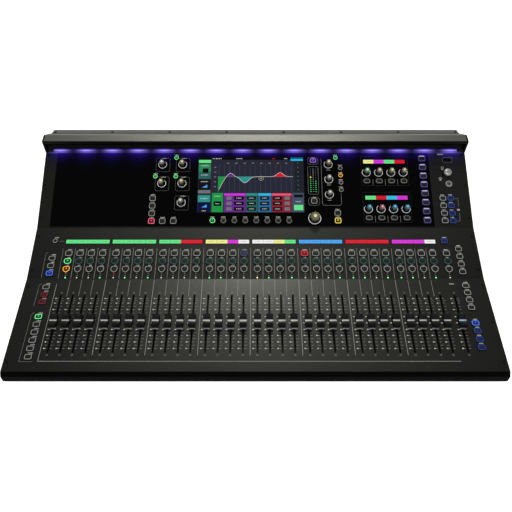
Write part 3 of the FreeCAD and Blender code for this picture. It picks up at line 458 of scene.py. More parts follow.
@dataclass
class Artwork(Form):
    """Screen print, or windows lit from behind, on one level of a deck."""

    level: float = 0.0
    rise: float = INK_RISE

    def line(self, path: list[tuple[float, float]], width: float = 0.5, ink: Ink = Ink.LINE) -> None:
        """An open line through these points."""
        self.add(ribbon(np.array(path), width, self.level, self.level + self.rise, False), ink=ink)

    def loop(self, outline: np.ndarray, spot: tuple[float, float], width: float = 0.5,
             ink: Ink = Ink.LINE) -> None:
        """A closed line round a spot."""
        self.add(ribbon(outline, width, self.level, self.level + self.rise, True), spot, ink=ink)

    def curve(self, path: np.ndarray, spot: tuple[float, float], width: float, ink: Ink) -> None:
        """An open curve, drawn about a spot."""
        self.add(ribbon(path, width, self.level, self.level + self.rise, False), spot, ink=ink)

    def patch(self, outline: np.ndarray, spot: tuple[float, float], ink: Ink, layer: int = 0) -> None:
        """A filled outline, one print's thickness higher for each layer."""
        low = self.level + layer * self.rise
        self.add(loft(raised(outline, [(1, low), (1, low + self.rise)])), spot, ink=ink)

    def bar(self, spot: tuple[float, float], size: tuple[float, float], ink: Ink, layer: int = 0) -> None:
        """A filled rectangle."""
        self.patch(box_outline(*size), spot, ink, layer)

    def caption(self, spot: tuple[float, float], width: float, height: float = 1.2,
                ink: Ink = Ink.PALE, layer: int = 0) -> None:
        """A row of short blocks of uneven width that stands where a label would be.

        Args:
            spot: x and t of the row's middle.
            width: length of the row.
            height: height of its blocks.
            ink: its colour.
            layer: how many prints lie under it.
        """
        shares = (0.9, 0.5, 1.2, 0.7, 1.0, 0.6)
        least, filled = 1.3, 0.62
        count = max(2, min(len(shares), round(width / least)))
        step = width / count
        for index, share in enumerate(shares[:count]):
            x = spot[0] - width / 2 + (index + 0.5) * step
            self.bar((x, spot[1]), (step * filled * share, height), ink, layer)

    def over(self, seat: Seat, gap: float, size: tuple[float, float], shift: float = 0.0) -> None:
        """A white caption above a key or socket.

        Args:
            seat: the key's or socket's box.
            gap: from its upper edge to the caption's middle.
            size: the caption's width and height.
            shift: how far right of the key's middle it stands.
        """
        self.caption((seat.x + shift, seat.t + seat.length / 2 + gap), size[0], size[1], Ink.WHITE)

    def gather(self, x: float, high: float, low: float, foot: float | None = None) -> None:
        """A line to the left of a column of keys, with a slanting top.

        Args:
            x: the column's middle.
            high: t of the line's upper end.
            low: t of its lower end.
            foot: x that it runs right to at its lower end, or None.
        """
        near, far, slant = x - 9.4, x - 13.6, 4.0
        path = [(near, high), (far, high - slant), (far, low)]
        self.line(path if foot is None else path + [(foot, low)])


# ---- finishes ----------------------------------------------------------------------------------
def add_node(tree: bpy.types.NodeTree, kind: str, settings: dict | None = None, **inputs) -> bpy.types.Node:
    """Adds a node to a material's tree.

    Args:
        tree: the node tree.
        kind: the node's type name.
        settings: the node's own properties.
        inputs: what goes into its sockets, by name, or by in_0, in_1 for a number: a socket or a value.

    Returns:
        The node.
    """
    node = tree.nodes.new(kind)
    for name, value in (settings or {}).items():
        setattr(node, name, value)
    for name, value in inputs.items():
        key = int(name[3:]) if name.startswith("in_") else name.replace("_", " ")
        if isinstance(value, bpy.types.NodeSocket):
            tree.links.new(value, node.inputs[key])
        else:
            node.inputs[key].default_value = value
    return node


def arithmetic(tree: bpy.types.NodeTree, operation: str, *values) -> bpy.types.NodeSocket:
    """The result of one Math node."""
    inputs = {f"in_{place}": value for place, value in enumerate(values)}
    return add_node(tree, "ShaderNodeMath", {"operation": operation}, **inputs).outputs[0]


@dataclass(frozen=True)
class Finish:
    """A surface: its colour, gloss, and the grain that breaks both up.

    grain is the size of one grain in millimetres, depth the relief in millimetres, and mottle the share
    by which the grain lightens and darkens the colour. spread is the span of the roughness. stretch draws
    the grain out along X, Y or Z, and clouds is the scale of the broad unevenness, per metre.
    """

    name: str
    colour: str
    roughness: float = 0.5
    metallic: float = 0.0
    ior: float = 1.5
    grain: float = 0.8
    depth: float = 0.02
    mottle: float = 0.12
    spread: float = 0.08
    stretch: tuple[float, float, float] = (1.0, 1.0, 1.0)
    clouds: float = 9.0

    def material(self) -> bpy.types.Material:
        """Makes the Blender material, or finds it where it was made before.

        Returns:
            The material.
        """
        made = bpy.data.materials.get(self.name)
        if made is None:
            made = bpy.data.materials.new(self.name)
            made.use_nodes = True
            tree = made.node_tree
            tree.nodes.clear()
            shader = add_node(tree, "ShaderNodeBsdfPrincipled")
            shader.inputs["Metallic"].default_value = self.metallic
            if not self.metallic:
                shader.inputs["IOR"].default_value = self.ior
            self.dress(tree, shader)
            add_node(tree, "ShaderNodeOutputMaterial", Surface=shader.outputs["BSDF"])
        return made

    def base_colour(self, tree: bpy.types.NodeTree) -> bpy.types.NodeSocket | tuple:
        """The colour before its mottle."""
        return linear(self.colour)

    def dress(self, tree: bpy.types.NodeTree, shader: bpy.types.Node) -> None:
        """Lays the grain over the colour, the roughness and the relief.

        Args:
            tree: the material's node tree.
            shader: its shader.
        """
        place = add_node(tree, "ShaderNodeTexCoord").outputs["Object"]
        drawn = add_node(tree, "ShaderNodeMapping", Vector=place, Scale=self.stretch).outputs["Vector"]
        noise = add_node(tree, "ShaderNodeTexNoise", Vector=drawn, Scale=1 / (self.grain * MM), Detail=3.0,
                         Roughness=0.6).outputs["Fac"]
        broad = add_node(tree, "ShaderNodeTexNoise", Vector=place, Scale=self.clouds,
                         Detail=2.0).outputs["Fac"]
        mixed = arithmetic(tree, "MULTIPLY_ADD", broad, 0.5, arithmetic(tree, "MULTIPLY", noise, 0.5))
        shade = add_node(tree, "ShaderNodeMapRange", Value=mixed, From_Min=NOISE_LOW, From_Max=NOISE_HIGH,
                         To_Min=1 - self.mottle, To_Max=1 + self.mottle).outputs["Result"]
        tint = add_node(tree, "ShaderNodeVectorMath", {"operation": "SCALE"}, Scale=shade,
                        in_0=self.base_vector(tree)).outputs["Vector"]
        tree.links.new(tint, shader.inputs["Base Color"])
        gloss = add_node(tree, "ShaderNodeMapRange", Value=mixed, From_Min=NOISE_LOW, From_Max=NOISE_HIGH,
                         To_Min=self.roughness - self.spread / 2,
                         To_Max=self.roughness + self.spread / 2).outputs["Result"]
        tree.links.new(gloss, shader.inputs["Roughness"])
        relief = add_node(tree, "ShaderNodeBump", Height=noise, Distance=self.depth * MM, Strength=1.0)
        tree.links.new(relief.outputs["Normal"], shader.inputs["Normal"])

    def base_vector(self, tree: bpy.types.NodeTree) -> bpy.types.NodeSocket | tuple:
        """The colour as a vector, for the Vector Math node that scales it."""
        colour = self.base_colour(tree)
        return colour if isinstance(colour, bpy.types.NodeSocket) else colour[:3]


@dataclass(frozen=True)
class InkFinish(Finish):
    """Print whose colour is each face's own, from the mesh's colour attribute."""

    glow: float = 0.0

    def base_colour(self, tree: bpy.types.NodeTree) -> bpy.types.NodeSocket | tuple:
        """The face's own colour."""
        return add_node(tree, "ShaderNodeAttribute", {"attribute_name": "ink"}).outputs["Color"]

    def dress(self, tree: bpy.types.NodeTree, shader: bpy.types.Node) -> None:
        """Adds the light that the print lets through, in its own colour.

        Args:
            tree: the material's node tree.
            shader: its shader.
        """
        super().dress(tree, shader)
        shader.inputs["Emission Strength"].default_value = self.glow
        tree.links.new(self.base_colour(tree), shader.inputs["Emission Color"])


@dataclass(frozen=True)
class DisplayFinish(Finish):
    """A lit display: black glass whose picture is each face's own colour, in fine scan lines."""

    glow: float = 1.0
    line: float = 0.9
    gap_light: float = 0.86
    line_light: float = 1.08

    def dress(self, tree: bpy.types.NodeTree, shader: bpy.types.Node) -> None:
        """Shows the picture as emission, dimmed a little in the gaps between its lines.

        Args:
            tree: the material's node tree.
            shader: its shader.
        """
        shader.inputs["Base Color"].default_value = linear(self.colour)
        shader.inputs["Roughness"].default_value = self.roughness
        picture = add_node(tree, "ShaderNodeAttribute", {"attribute_name": "ink"}).outputs["Color"]
        tree.links.new(picture, shader.inputs["Emission Color"])
        place = add_node(tree, "ShaderNodeTexCoord").outputs["Object"]
        lines = add_node(tree, "ShaderNodeTexWave", {"bands_direction": "X"}, Vector=place,
                         Scale=1 / (self.line * MM * 2 * math.pi)).outputs["Fac"]
        strength = add_node(tree, "ShaderNodeMapRange", Value=lines, To_Min=self.glow * self.gap_light,
                            To_Max=self.glow * self.line_light).outputs["Result"]
        tree.links.new(strength, shader.inputs["Emission Strength"])


@dataclass(frozen=True)
class LampSpill:
    """The row of lamps under the hood, and how far their light, painted on the panel, reaches down it,
    in millimetres.

    Nothing is lit further up the slope than above from the row.
    """

    first: float
    pitch: float
    row: float
    core: tuple[float, float] = (15.0, 1.8)
    halo: tuple[float, float] = (18.0, 6.6)
    above: float = 1.0
    tail: float = 1.0

    def strengths(self, tree: bpy.types.NodeTree) -> tuple[bpy.types.NodeSocket, bpy.types.NodeSocket]:
        """The light at a point of the panel, from its place alone.

        The distance across is to the nearest lamp, and the distance down the slope is to the lamps' row,
        each over the light's reach. A light is the exponential of minus the first squared and the second
        to a power: two for the core, and the tail's for the halo.

        Args:
            tree: the material's node tree.

        Returns:
            The bright core's strength and the wide halo's.
        """
        place = add_node(tree, "ShaderNodeTexCoord").outputs["Object"]
        x = add_node(tree, "ShaderNodeSeparateXYZ", Vector=place).outputs["X"]
        along = arithmetic(tree, "PINGPONG", arithmetic(tree, "SUBTRACT", x, self.first * MM),
                           self.pitch * MM / 2)
        axis = tuple(SCREEN_DECK.axes[1])
        start = float(SCREEN_DECK.origin @ SCREEN_DECK.axes[1]) + self.row * MM
        slope = add_node(tree, "ShaderNodeVectorMath", {"operation": "DOT_PRODUCT"}, in_0=place, in_1=axis)
        down = arithmetic(tree, "SUBTRACT", start, slope.outputs["Value"])
        shown = arithmetic(tree, "GREATER_THAN", down, -self.above * MM)
        distance = arithmetic(tree, "ABSOLUTE", down)
        lights = []
        for reach, power in ((self.core, 2.0), (self.halo, self.tail)):
            across = arithmetic(tree, "POWER", arithmetic(tree, "DIVIDE", along, reach[0] * MM), 2.0)
            fall = arithmetic(tree, "POWER", arithmetic(tree, "DIVIDE", distance, reach[1] * MM), power)
            spread = arithmetic(tree, "MULTIPLY", arithmetic(tree, "ADD", across, fall), -1.0)
            lights.append(arithmetic(tree, "MULTIPLY", shown, arithmetic(tree, "EXPONENT", spread)))
        return lights[0], lights[1]


@dataclass(frozen=True)
class LitPanel(Finish):
    """A panel under the row of lamps, with the lamps' light painted on it as emission."""

    spill: LampSpill | None = None
    core_colour: str = "#b9a4ff"
    halo_colour: str = "#3314a8"
    core_light: float = 0.3
    halo_light: float = 0.8

    def dress(self, tree: bpy.types.NodeTree, shader: bpy.types.Node) -> None:
        """Paints the lamps' light onto the panel as emission.

        Args:
            tree: the material's node tree.
            shader: its shader.
        """
        super().dress(tree, shader)
        core, halo = self.spill.strengths(tree)
        lit = []
        for strength, colour, light in ((core, self.core_colour, self.core_light),
                                        (halo, self.halo_colour, self.halo_light)):
            amount = arithmetic(tree, "MULTIPLY", strength, light)
            lit.append(add_node(tree, "ShaderNodeVectorMath", {"operation": "SCALE"},
                                in_0=linear(colour)[:3], Scale=amount).outputs["Vector"])
        both = add_node(tree, "ShaderNodeVectorMath", {"operation": "ADD"}, in_0=lit[0], in_1=lit[1])
        tree.links.new(both.outputs["Vector"], shader.inputs["Emission Color"])
        shader.inputs["Emission Strength"].default_value = 1.0


@dataclass(frozen=True)
class UpperFinish(Finish):
    """A colour for the faces that look up and a near black on the rest and near the ends: light and shade painted
    by the way each face looks.

    up is the least Z of an upper face's normal. end, back and front are the black lengths at each end of
    the node, at its rear edge and at its front edge, in millimetres.
    """

    node: str = "hood_bar"
    paint: str = "#090909"
    up: float = 0.8
    end: float = 0.0
    back: float = 0.0
    front: float = -1.0

    def base_colour(self, tree: bpy.types.NodeTree) -> bpy.types.NodeSocket | tuple:
        """Chooses the upper colour or the near black, which paint light and shade, from the surface's slope and
        its place along X and Y.

        Args:
            tree: the material's node tree.

        Returns:
            The colour's socket.
        """
        slope = add_node(tree, "ShaderNodeNewGeometry").outputs["True Normal"]
        rise = add_node(tree, "ShaderNodeSeparateXYZ", Vector=slope).outputs["Z"]
        place = add_node(tree, "ShaderNodeTexCoord").outputs["Object"]
        apart = add_node(tree, "ShaderNodeSeparateXYZ", Vector=place).outputs
        near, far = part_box(self.node)
        inside = arithmetic(tree, "LESS_THAN", arithmetic(tree, "ABSOLUTE", apart["X"]),
                            far.x - self.end * MM)
        ahead = arithmetic(tree, "LESS_THAN", apart["Y"], far.y - self.back * MM)
        behind = arithmetic(tree, "GREATER_THAN", apart["Y"], near.y + self.front * MM)
        # Faces that look up take the upper colour and the rest the near black: painted light and shade.
        upper = arithmetic(tree, "GREATER_THAN", rise, self.up)
        for limit in (inside, ahead, behind):
            upper = arithmetic(tree, "MULTIPLY", upper, limit)
        return add_node(tree, "ShaderNodeMix", {"data_type": "RGBA"}, in_0=upper,
                        in_6=linear(self.paint), in_7=linear(self.colour)).outputs[2]


# The lamps' light, painted onto the panels below the hood from their places.
SPILL = LampSpill(first=-374.0, pitch=49.87, row=154.2)

# Polyester powder coat on sheet steel, baked: a fine orange peel that scatters a soft grey sheen.
DECK_PAINT = Finish("powder_coated_steel", "#1b1b19", roughness=0.32, grain=0.7, depth=0.035, mottle=0.1)
# The same coat under the hood's lamps, with their light painted on it.
LIT_PAINT = LitPanel("powder_coated_steel_lamplit", "#1a1a18", roughness=0.32, grain=0.7, depth=0.035,
                     spill=SPILL)
# Cast acrylic sheet printed black behind: an almost liquid gloss with next to no grain, with the hood lamps' light
# painted on it.
LAMPLIT_GLOSS_ACRYLIC = LitPanel("black_backed_acrylic_painted_lamplight", "#040405", roughness=0.09, ior=1.49, grain=40.0, depth=0.0,
                         mottle=0.05, spread=0.03, spill=SPILL)
# Casing paint, rougher and duller than the decks', on the tray and the cheeks.
CASING_PAINT = Finish("textured_casing_paint", "#050505", roughness=0.62, ior=1.07, grain=0.9,
                      depth=0.05, mottle=0.14)
# Extruded aluminium, bead blasted and anodised grey: satin, drawn out along the extrusion. Its faces that
# do not look up, the lip among them, are painted near black as shade; its ends are black, and so is a band
# where its tail turns down.
SATIN_ALUMINIUM_PAINTED_SHADE = UpperFinish("satin_anodised_aluminium", "#787775", roughness=0.5, metallic=1.0,
                              grain=0.6, depth=0.006, mottle=0.05, stretch=(0.02, 1.0, 1.0), end=3.1,
                              back=23.0, paint="#161616")
# The rear sheet, black enamel: its top strip is painted grey as a painted reflection, and it stays black below
# the fold and in the joint behind the hood.
REAR_SHEET_PAINTED_REFLECTION = UpperFinish("black_enamel_painted_reflection", "#5f5e5c", roughness=0.45, grain=0.8, depth=0.03,
                          mottle=0.08, node="rear_panel", end=-1.0, back=-1.0, front=25.0)
# Opal polycarbonate strip over the lamps.
OPAL_DIFFUSER = LitPanel("opal_polycarbonate", "#0a0910", roughness=0.35, grain=2.0, depth=0.0,
                         spill=LampSpill(-374.0, 49.87, 156.2, (13.0, 1.7), (16.0, 4.5), 4.4, 2.0),
                         core_light=0.9)
# Screw steel, black oxidised: dark, slightly blue and oily.
BLACK_STEEL = Finish("black_oxide_screw_steel", "#0c0c0d", roughness=0.5, metallic=0.5, grain=0.4,
                     depth=0.01, mottle=0.2)
# Phosphated steel of the fader tracks, dull so that the slots look black.
TRACK_BLACK = Finish("phosphated_steel", "#050505", roughness=0.7, grain=0.6, depth=0.02, mottle=0.2)
# Bright steel of the fader stems and the knobs' shafts: zinc plated, with a faint blue bloom.
ZINC_STEEL = Finish("zinc_plated_steel", "#9da0a4", roughness=0.28, metallic=1.0, grain=1.6, depth=0.01,
                    mottle=0.12)
# Bright nickel plate of the phones knob's cap and the jack nuts: a clear white lustre.
BRIGHT_PLATE = Finish("nickel_plate", "#dcdad6", roughness=0.34, metallic=0.75, grain=1.2, depth=0.004,
                      mottle=0.06)
# Moulded rubber feet.
FOOT_RUBBER = Finish("moulded_rubber", "#111111", roughness=0.8, grain=0.5, depth=0.05, mottle=0.2)
# Display glass: a hard coat over black.
DISPLAY_GLASS = Finish("display_cover_glass", "#030304", roughness=0.06, ior=1.52, grain=60.0, depth=0.0,
                       mottle=0.02, spread=0.02)
# Glass fibre laminate with green solder mask.
CIRCUIT_BOARD = Finish("solder_masked_laminate", "#0f3d24", roughness=0.4, grain=3.0, depth=0.03,
                       mottle=0.3)
# Pressed galvanised steel of the supply's case.
GALVANISED = Finish("galvanised_steel", "#8d9093", roughness=0.38, metallic=1.0, grain=6.0, depth=0.01,
                    mottle=0.2)
# Glass filled nylon of the socket bodies: dull black with a coarse flow grain.
SOCKET_NYLON = Finish("glass_filled_nylon", "#101011", roughness=0.42, grain=0.6, depth=0.04, mottle=0.2)
# Moulded ABS of the rocker, with the fine pits of a spark-eroded mould.
SATIN_ABS = Finish("spark_textured_abs", "#0d0d0e", roughness=0.4, grain=0.35, depth=0.02, mottle=0.15)
# Moulded ABS of the knobs' skirts and bodies, from a polished mould.
GLOSSY_ABS = Finish("polished_abs", "#08080a", roughness=0.2, ior=1.53, grain=0.5, depth=0.006, mottle=0.1)
# The fader caps: coarse dull black, and a paler grey either side of the white line that is a painted sheen on the
# finger rest.
DULL_ABS = Finish("coarse_textured_abs", "#060607", roughness=0.6, ior=1.3, grain=0.35, depth=0.03,
                  mottle=0.15)
SHEEN_ABS = Finish("finger_polished_abs", "#38393b", roughness=0.3, grain=0.35, depth=0.01, mottle=0.2)
# The master fader's finger rest: its own blue, lightened as a painted sheen.
BLUE_SHEEN_ABS = Finish("finger_polished_blue_abs", "#2c4f70", roughness=0.3, grain=0.35, depth=0.01, mottle=0.1)
# The fader caps' indicator line, a white inlay.
WHITE_INLAY = Finish("white_abs_inlay", "#dededa", roughness=0.45, grain=0.5, depth=0.01, mottle=0.06)
# The caps' lower rim, painted pale grey as a highlight along its edge.
RIM_HIGHLIGHT = Finish("abs_edge_painted_highlight", "#5e5e5c", roughness=0.35, grain=0.5, depth=0.01, mottle=0.25)
# Silicone rubber keys: soft, dark and dull.
KEY_RUBBER = Finish("silicone_rubber", "#121214", roughness=0.55, ior=1.41, grain=0.5, depth=0.02,
                    mottle=0.15)
# Screen print on the panels: epoxy ink, slightly broken at its edges.
EPOXY_INK = InkFinish("screen_printed_ink", "#ffffff", roughness=0.55, grain=0.5, depth=0.0, mottle=0.12)
# Light guides round the keys with their lamps off or turned down: clear silicone with a white core.
KEY_GUIDE = InkFinish("frosted_light_guide", "#ffffff", roughness=0.4, grain=0.6, depth=0.0, mottle=0.08,
                      glow=0.18)
# The same guides with their lamps on.
LIT_GUIDE = InkFinish("lit_light_guide", "#ffffff", roughness=0.4, grain=0.6, depth=0.0, mottle=0.05,
                      glow=1.1)
# Liquid crystal panel: black glass that glows through its colour filters.
LIT_DISPLAY = DisplayFinish("lit_liquid_crystal", "#020203", roughness=0.12, glow=0.88)
# Knob caps: translucent polycarbonate with a lamp beneath, bright in the middle.
LIT_CAP = InkFinish("frosted_knob_cap", "#ffffff", roughness=0.3, grain=0.8, depth=0.0, mottle=0.1,
                    glow=0.28)


# ---- studio ------------------------------------------------------------------------------------
@dataclass(frozen=True)
class SoftBox:
    """A rectangular studio light: its centre, target and sides in metres, and its power in watts."""

    name: str
    centre: tuple[float, float, float]
    target: tuple[float, float, float]
    size: tuple[float, float]
    power: float
    tint: str = "#ffffff"

    def build(self) -> None:
        """Hangs the light, facing its target."""
        light = bpy.data.lights.new(self.name, "AREA")
        light.shape = "RECTANGLE"
        light.size, light.size_y = self.size
        light.energy = self.power
        light.color = linear(self.tint)[:3]
        lamp = bpy.data.objects.new(self.name, light)
        bpy.context.scene.collection.objects.link(lamp)
        lamp.location = self.centre
        aim = Vector(self.target) - Vector(self.centre)
        lamp.rotation_euler = aim.to_track_quat("-Z", "Y").to_euler()


@dataclass(frozen=True)
class Studio:
    """Camera, pale floor and soft lights.

    horizon and ceiling give the surround's light there, and the height of the ray that it starts from.
    """

    camera_place: tuple[float, float, float] = (0.0, -0.7096, 0.8075)
    camera_pitch: float = 43.0
    lens: float = 38.67
    shift: float = 0.00137
    floor_side: float = 12.0
    floor_glow: float = 0.75
    horizon: tuple[float, float] = (0.75, 0.05)
    ceiling: tuple[float, float] = (0.03, 0.75)
    lights: tuple[SoftBox, ...] = (
        SoftBox("deck_softbox", (0.0, 1.2, 1.9), (0.0, -0.1, 0.1), (0.66, 0.44), 17.0, "#fdfff2"),
        SoftBox("wide_softbox", (0.0, 0.65, 2.3), (0.0, -0.2, 0.05), (2.2, 0.35), 2.2, "#fdfff2"),
        SoftBox("front_softbox", (0.0, -2.2, 2.0), (0.0, 0.0, 0.1), (2.4, 1.0), 38.0),
    )

    def camera(self) -> None:
        """Sets the camera in front of the console, looking down on its decks."""
        data = bpy.data.cameras.new("camera")
        data.lens = self.lens
        data.shift_x = self.shift
        camera = bpy.data.objects.new("camera", data)
        bpy.context.scene.collection.objects.link(camera)
        camera.location = self.camera_place
        camera.rotation_euler = (math.radians(self.camera_pitch), 0.0, 0.0)
        bpy.context.scene.camera = camera

    def floor(self) -> None:
        """A wide pale floor that also gives a little light, so that it reads as a white sweep."""
        side = self.floor_side / 2
        mesh = bpy.data.meshes.new("floor")
        mesh.from_pydata([(-side, -side, 0), (side, -side, 0), (side, side, 0), (-side, side, 0)], [],
                         [(0, 1, 2, 3)])
        paper = bpy.data.materials.new("white_paper_sweep")
        paper.use_nodes = True
        shader = paper.node_tree.nodes["Principled BSDF"]
        shader.inputs["Base Color"].default_value = linear("#f4f4f4")
        shader.inputs["Roughness"].default_value = 0.9
        shader.inputs["Emission Color"].default_value = linear("#ffffff")
        shader.inputs["Emission Strength"].default_value = self.floor_glow
        mesh.materials.append(paper)
        floor = bpy.data.objects.new("floor", mesh)
        bpy.context.scene.collection.objects.link(floor)

    def sky(self) -> None:
        """A surround that is pale at the horizon and dark overhead, as in a room with a black ceiling."""
        world = bpy.data.worlds.new("studio")
        bpy.context.scene.world = world
        world.use_nodes = True
        tree = world.node_tree
        tree.nodes.clear()
        ray = add_node(tree, "ShaderNodeTexCoord").outputs["Generated"]
        height = add_node(tree, "ShaderNodeSeparateXYZ", Vector=ray).outputs["Z"]
        light = add_node(tree, "ShaderNodeMapRange", {"interpolation_type": "SMOOTHSTEP"}, Value=height,
                         From_Min=self.horizon[1], From_Max=self.ceiling[1], To_Min=self.horizon[0],
                         To_Max=self.ceiling[0]).outputs["Result"]
        back = add_node(tree, "ShaderNodeBackground", Color=linear("#ffffff"), Strength=light)
        add_node(tree, "ShaderNodeOutputWorld", Surface=back.outputs["Background"])

    def build(self) -> None:
        """Sets up the whole studio."""
        self.camera()
        self.floor()
        self.sky()
        for light in self.lights:
            light.build()
        bpy.context.scene.view_settings.view_transform = "Standard"


# ---- sub-assemblies ----------------------------------------------------------------------------
def stand_for(piece: bpy.types.Object, node: str) -> None:
    """Puts a detailed piece in the place of a moving CAD node, on the same body.

    Args:
        piece: the new piece.
        node: the CAD node's name.
    """
    body = next(name for name, members in frame["record"]["behaviour"]["bodies"].items() if node in members)
    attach(piece, body)
    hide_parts(node)


def fix(piece: bpy.types.Object) -> None:
    """Fastens a piece to the casing."""
    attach(piece, "console")


@dataclass(frozen=True)
class Casing:
    """The CAD nodes that keep their own shape, each with its finish."""

    finishes: tuple[tuple[Finish, tuple[str, ...]], ...] = (
        (DECK_PAINT, ("fader_panel", "key_panel")),
        (LIT_PAINT, ("screen_panel",)),
        (LAMPLIT_GLOSS_ACRYLIC, ("gloss_fascia",)),
        (CASING_PAINT, ("base_tray", "side_cheek_left", "side_cheek_right")),
        (REAR_SHEET_PAINTED_REFLECTION, ("rear_panel",)),
        (SATIN_ALUMINIUM_PAINTED_SHADE, ("hood_bar",)),
        (OPAL_DIFFUSER, ("light_bar",)),
        (BLACK_STEEL, ("panel_screws",)),
        (FOOT_RUBBER, ("feet",)),
        (DISPLAY_GLASS, ("touchscreen", "channel_displays")),
        (TRACK_BLACK, ("fader_tracks",)),
        (BRIGHT_PLATE, ("jack_sockets",)),
        (CIRCUIT_BOARD, ("circuit_boards",)),
        (GALVANISED, ("power_supply",)),
        (SOCKET_NYLON, ("input_sockets", "output_sockets", "data_ports", "mains_inlet")),
        (SATIN_ABS, ("mains_switch",)),
    )

    def build(self) -> None:
        """Gives each node its finish."""
        for finish, names in self.finishes:
            for name in names:
                slots = NODES[name].data.materials
                slots.clear()
                slots.append(finish.material())
                LOG.info("%s: %s", name, finish.name)


@dataclass(frozen=True)
class KeyBank:
    """One CAD node of keys: rubber caps with a light guide let into each top.

    lit and tinted say which guides have a colour of their own, by the key's place in the node. rim is the
    cap's rounded edge, as shares of its outline and depths under its top. window is the share of the
    guide's outline that is filled inside it, and the shares of its light in a tinted and in a lit key.
    spark is a lit key's bright middle: its share of the outline, its shift up the key, and its light.
    """

    node: str
    deck: Deck
    shape: KeyShape = KeyShape.SQUARE
    ink: Ink = Ink.PALE
    lit: dict[int, Ink] = field(default_factory=dict)
    tinted: dict[int, Ink] = field(default_factory=dict)
    guide: float = 0.8
    inset: float = 0.9
    depth: float = 0.3
    label: float = 0.0
    label_size: tuple[float, float] = (2.2, 1.0)
    rim: tuple[tuple[float, float], ...] = ((1.0, 0.6), (0.965, 0.2), (0.9, 0.05))
    window: tuple[float, float, float] = (0.72, 0.14, 0.04)
    spark: tuple[float, float, float] = (0.2, 0.1, 0.6)

    def build(self) -> list[Seat]:
        """Makes the keys in the places of the CAD node's solids.

        Returns:
            The keys' seats, for the print round them.
        """
        form = Form(self.deck)
        places = seats(self.node, self.deck)
        for index, seat in enumerate(places):
            round_key = abs(seat.width - seat.length) < 0.05
            body = KeyShape.ROUND if round_key else KeyShape.SQUARE
            cap = superellipse(seat.width, seat.length, body.value, 16)
            levels = [(1.0, seat.low)] + [(share, seat.top - under) for share, under in self.rim]
            form.add(loft(raised(cap, levels)), (seat.x, seat.t))
            shape = body if round_key else self.shape
            line = shape.outline(seat.width - 2 * self.inset, seat.length - 2 * self.inset, 18)
            self.light(form, index, seat, line)
        piece = form.build(self.node + "_caps", [KEY_RUBBER, KEY_GUIDE, LIT_GUIDE], 40.0)
        stand_for(piece, self.node)
        return places

    def light(self, form: Form, index: int, seat: Seat, line: np.ndarray) -> None:
        """Lets the light guide into one key's top.

        Args:
            form: the piece in the making.
            index: the key's place in the node.
            seat: the key's box.
            line: the guide's middle line.
        """
        ink = self.lit.get(index, self.tinted.get(index, self.ink))
        slot = 2 if index in self.lit else 1
        spot, top, foot = (seat.x, seat.t), seat.top, seat.top - self.depth
        form.add(ribbon(line, self.guide, foot, top, True), spot, slot, ink)
        share, *lights = self.window
        if index in self.lit or index in self.tinted:
            pane = loft(raised(line, [(share, foot), (share, top - HAIR)]))
            form.add(pane, spot, slot, ink, lights[slot - 1])
        if index in self.lit:
            size, lift, light = self.spark
            middle = loft(raised(line, [(size, foot), (size, top)]))
            form.add(middle, (seat.x, seat.t + lift * seat.length), slot, ink, light)
        if self.label:
            height, under = self.label_size
            bar = loft(raised(box_outline(seat.width * self.label, height), [(1, foot), (1, top + HAIR)]))
            form.add(bar, (seat.x, seat.t + seat.length / 2 - self.inset - under), slot, Ink.LILAC)


class CapFace(IntEnum):
    """Material slots of a fader."""

    SIDE = 0
    LINE = 1
    # the lower rim, painted pale as a highlight
    RIM = 2
    STEM = 3
    # faces either side of the white line, painted paler as a sheen
    SHEEN = 4


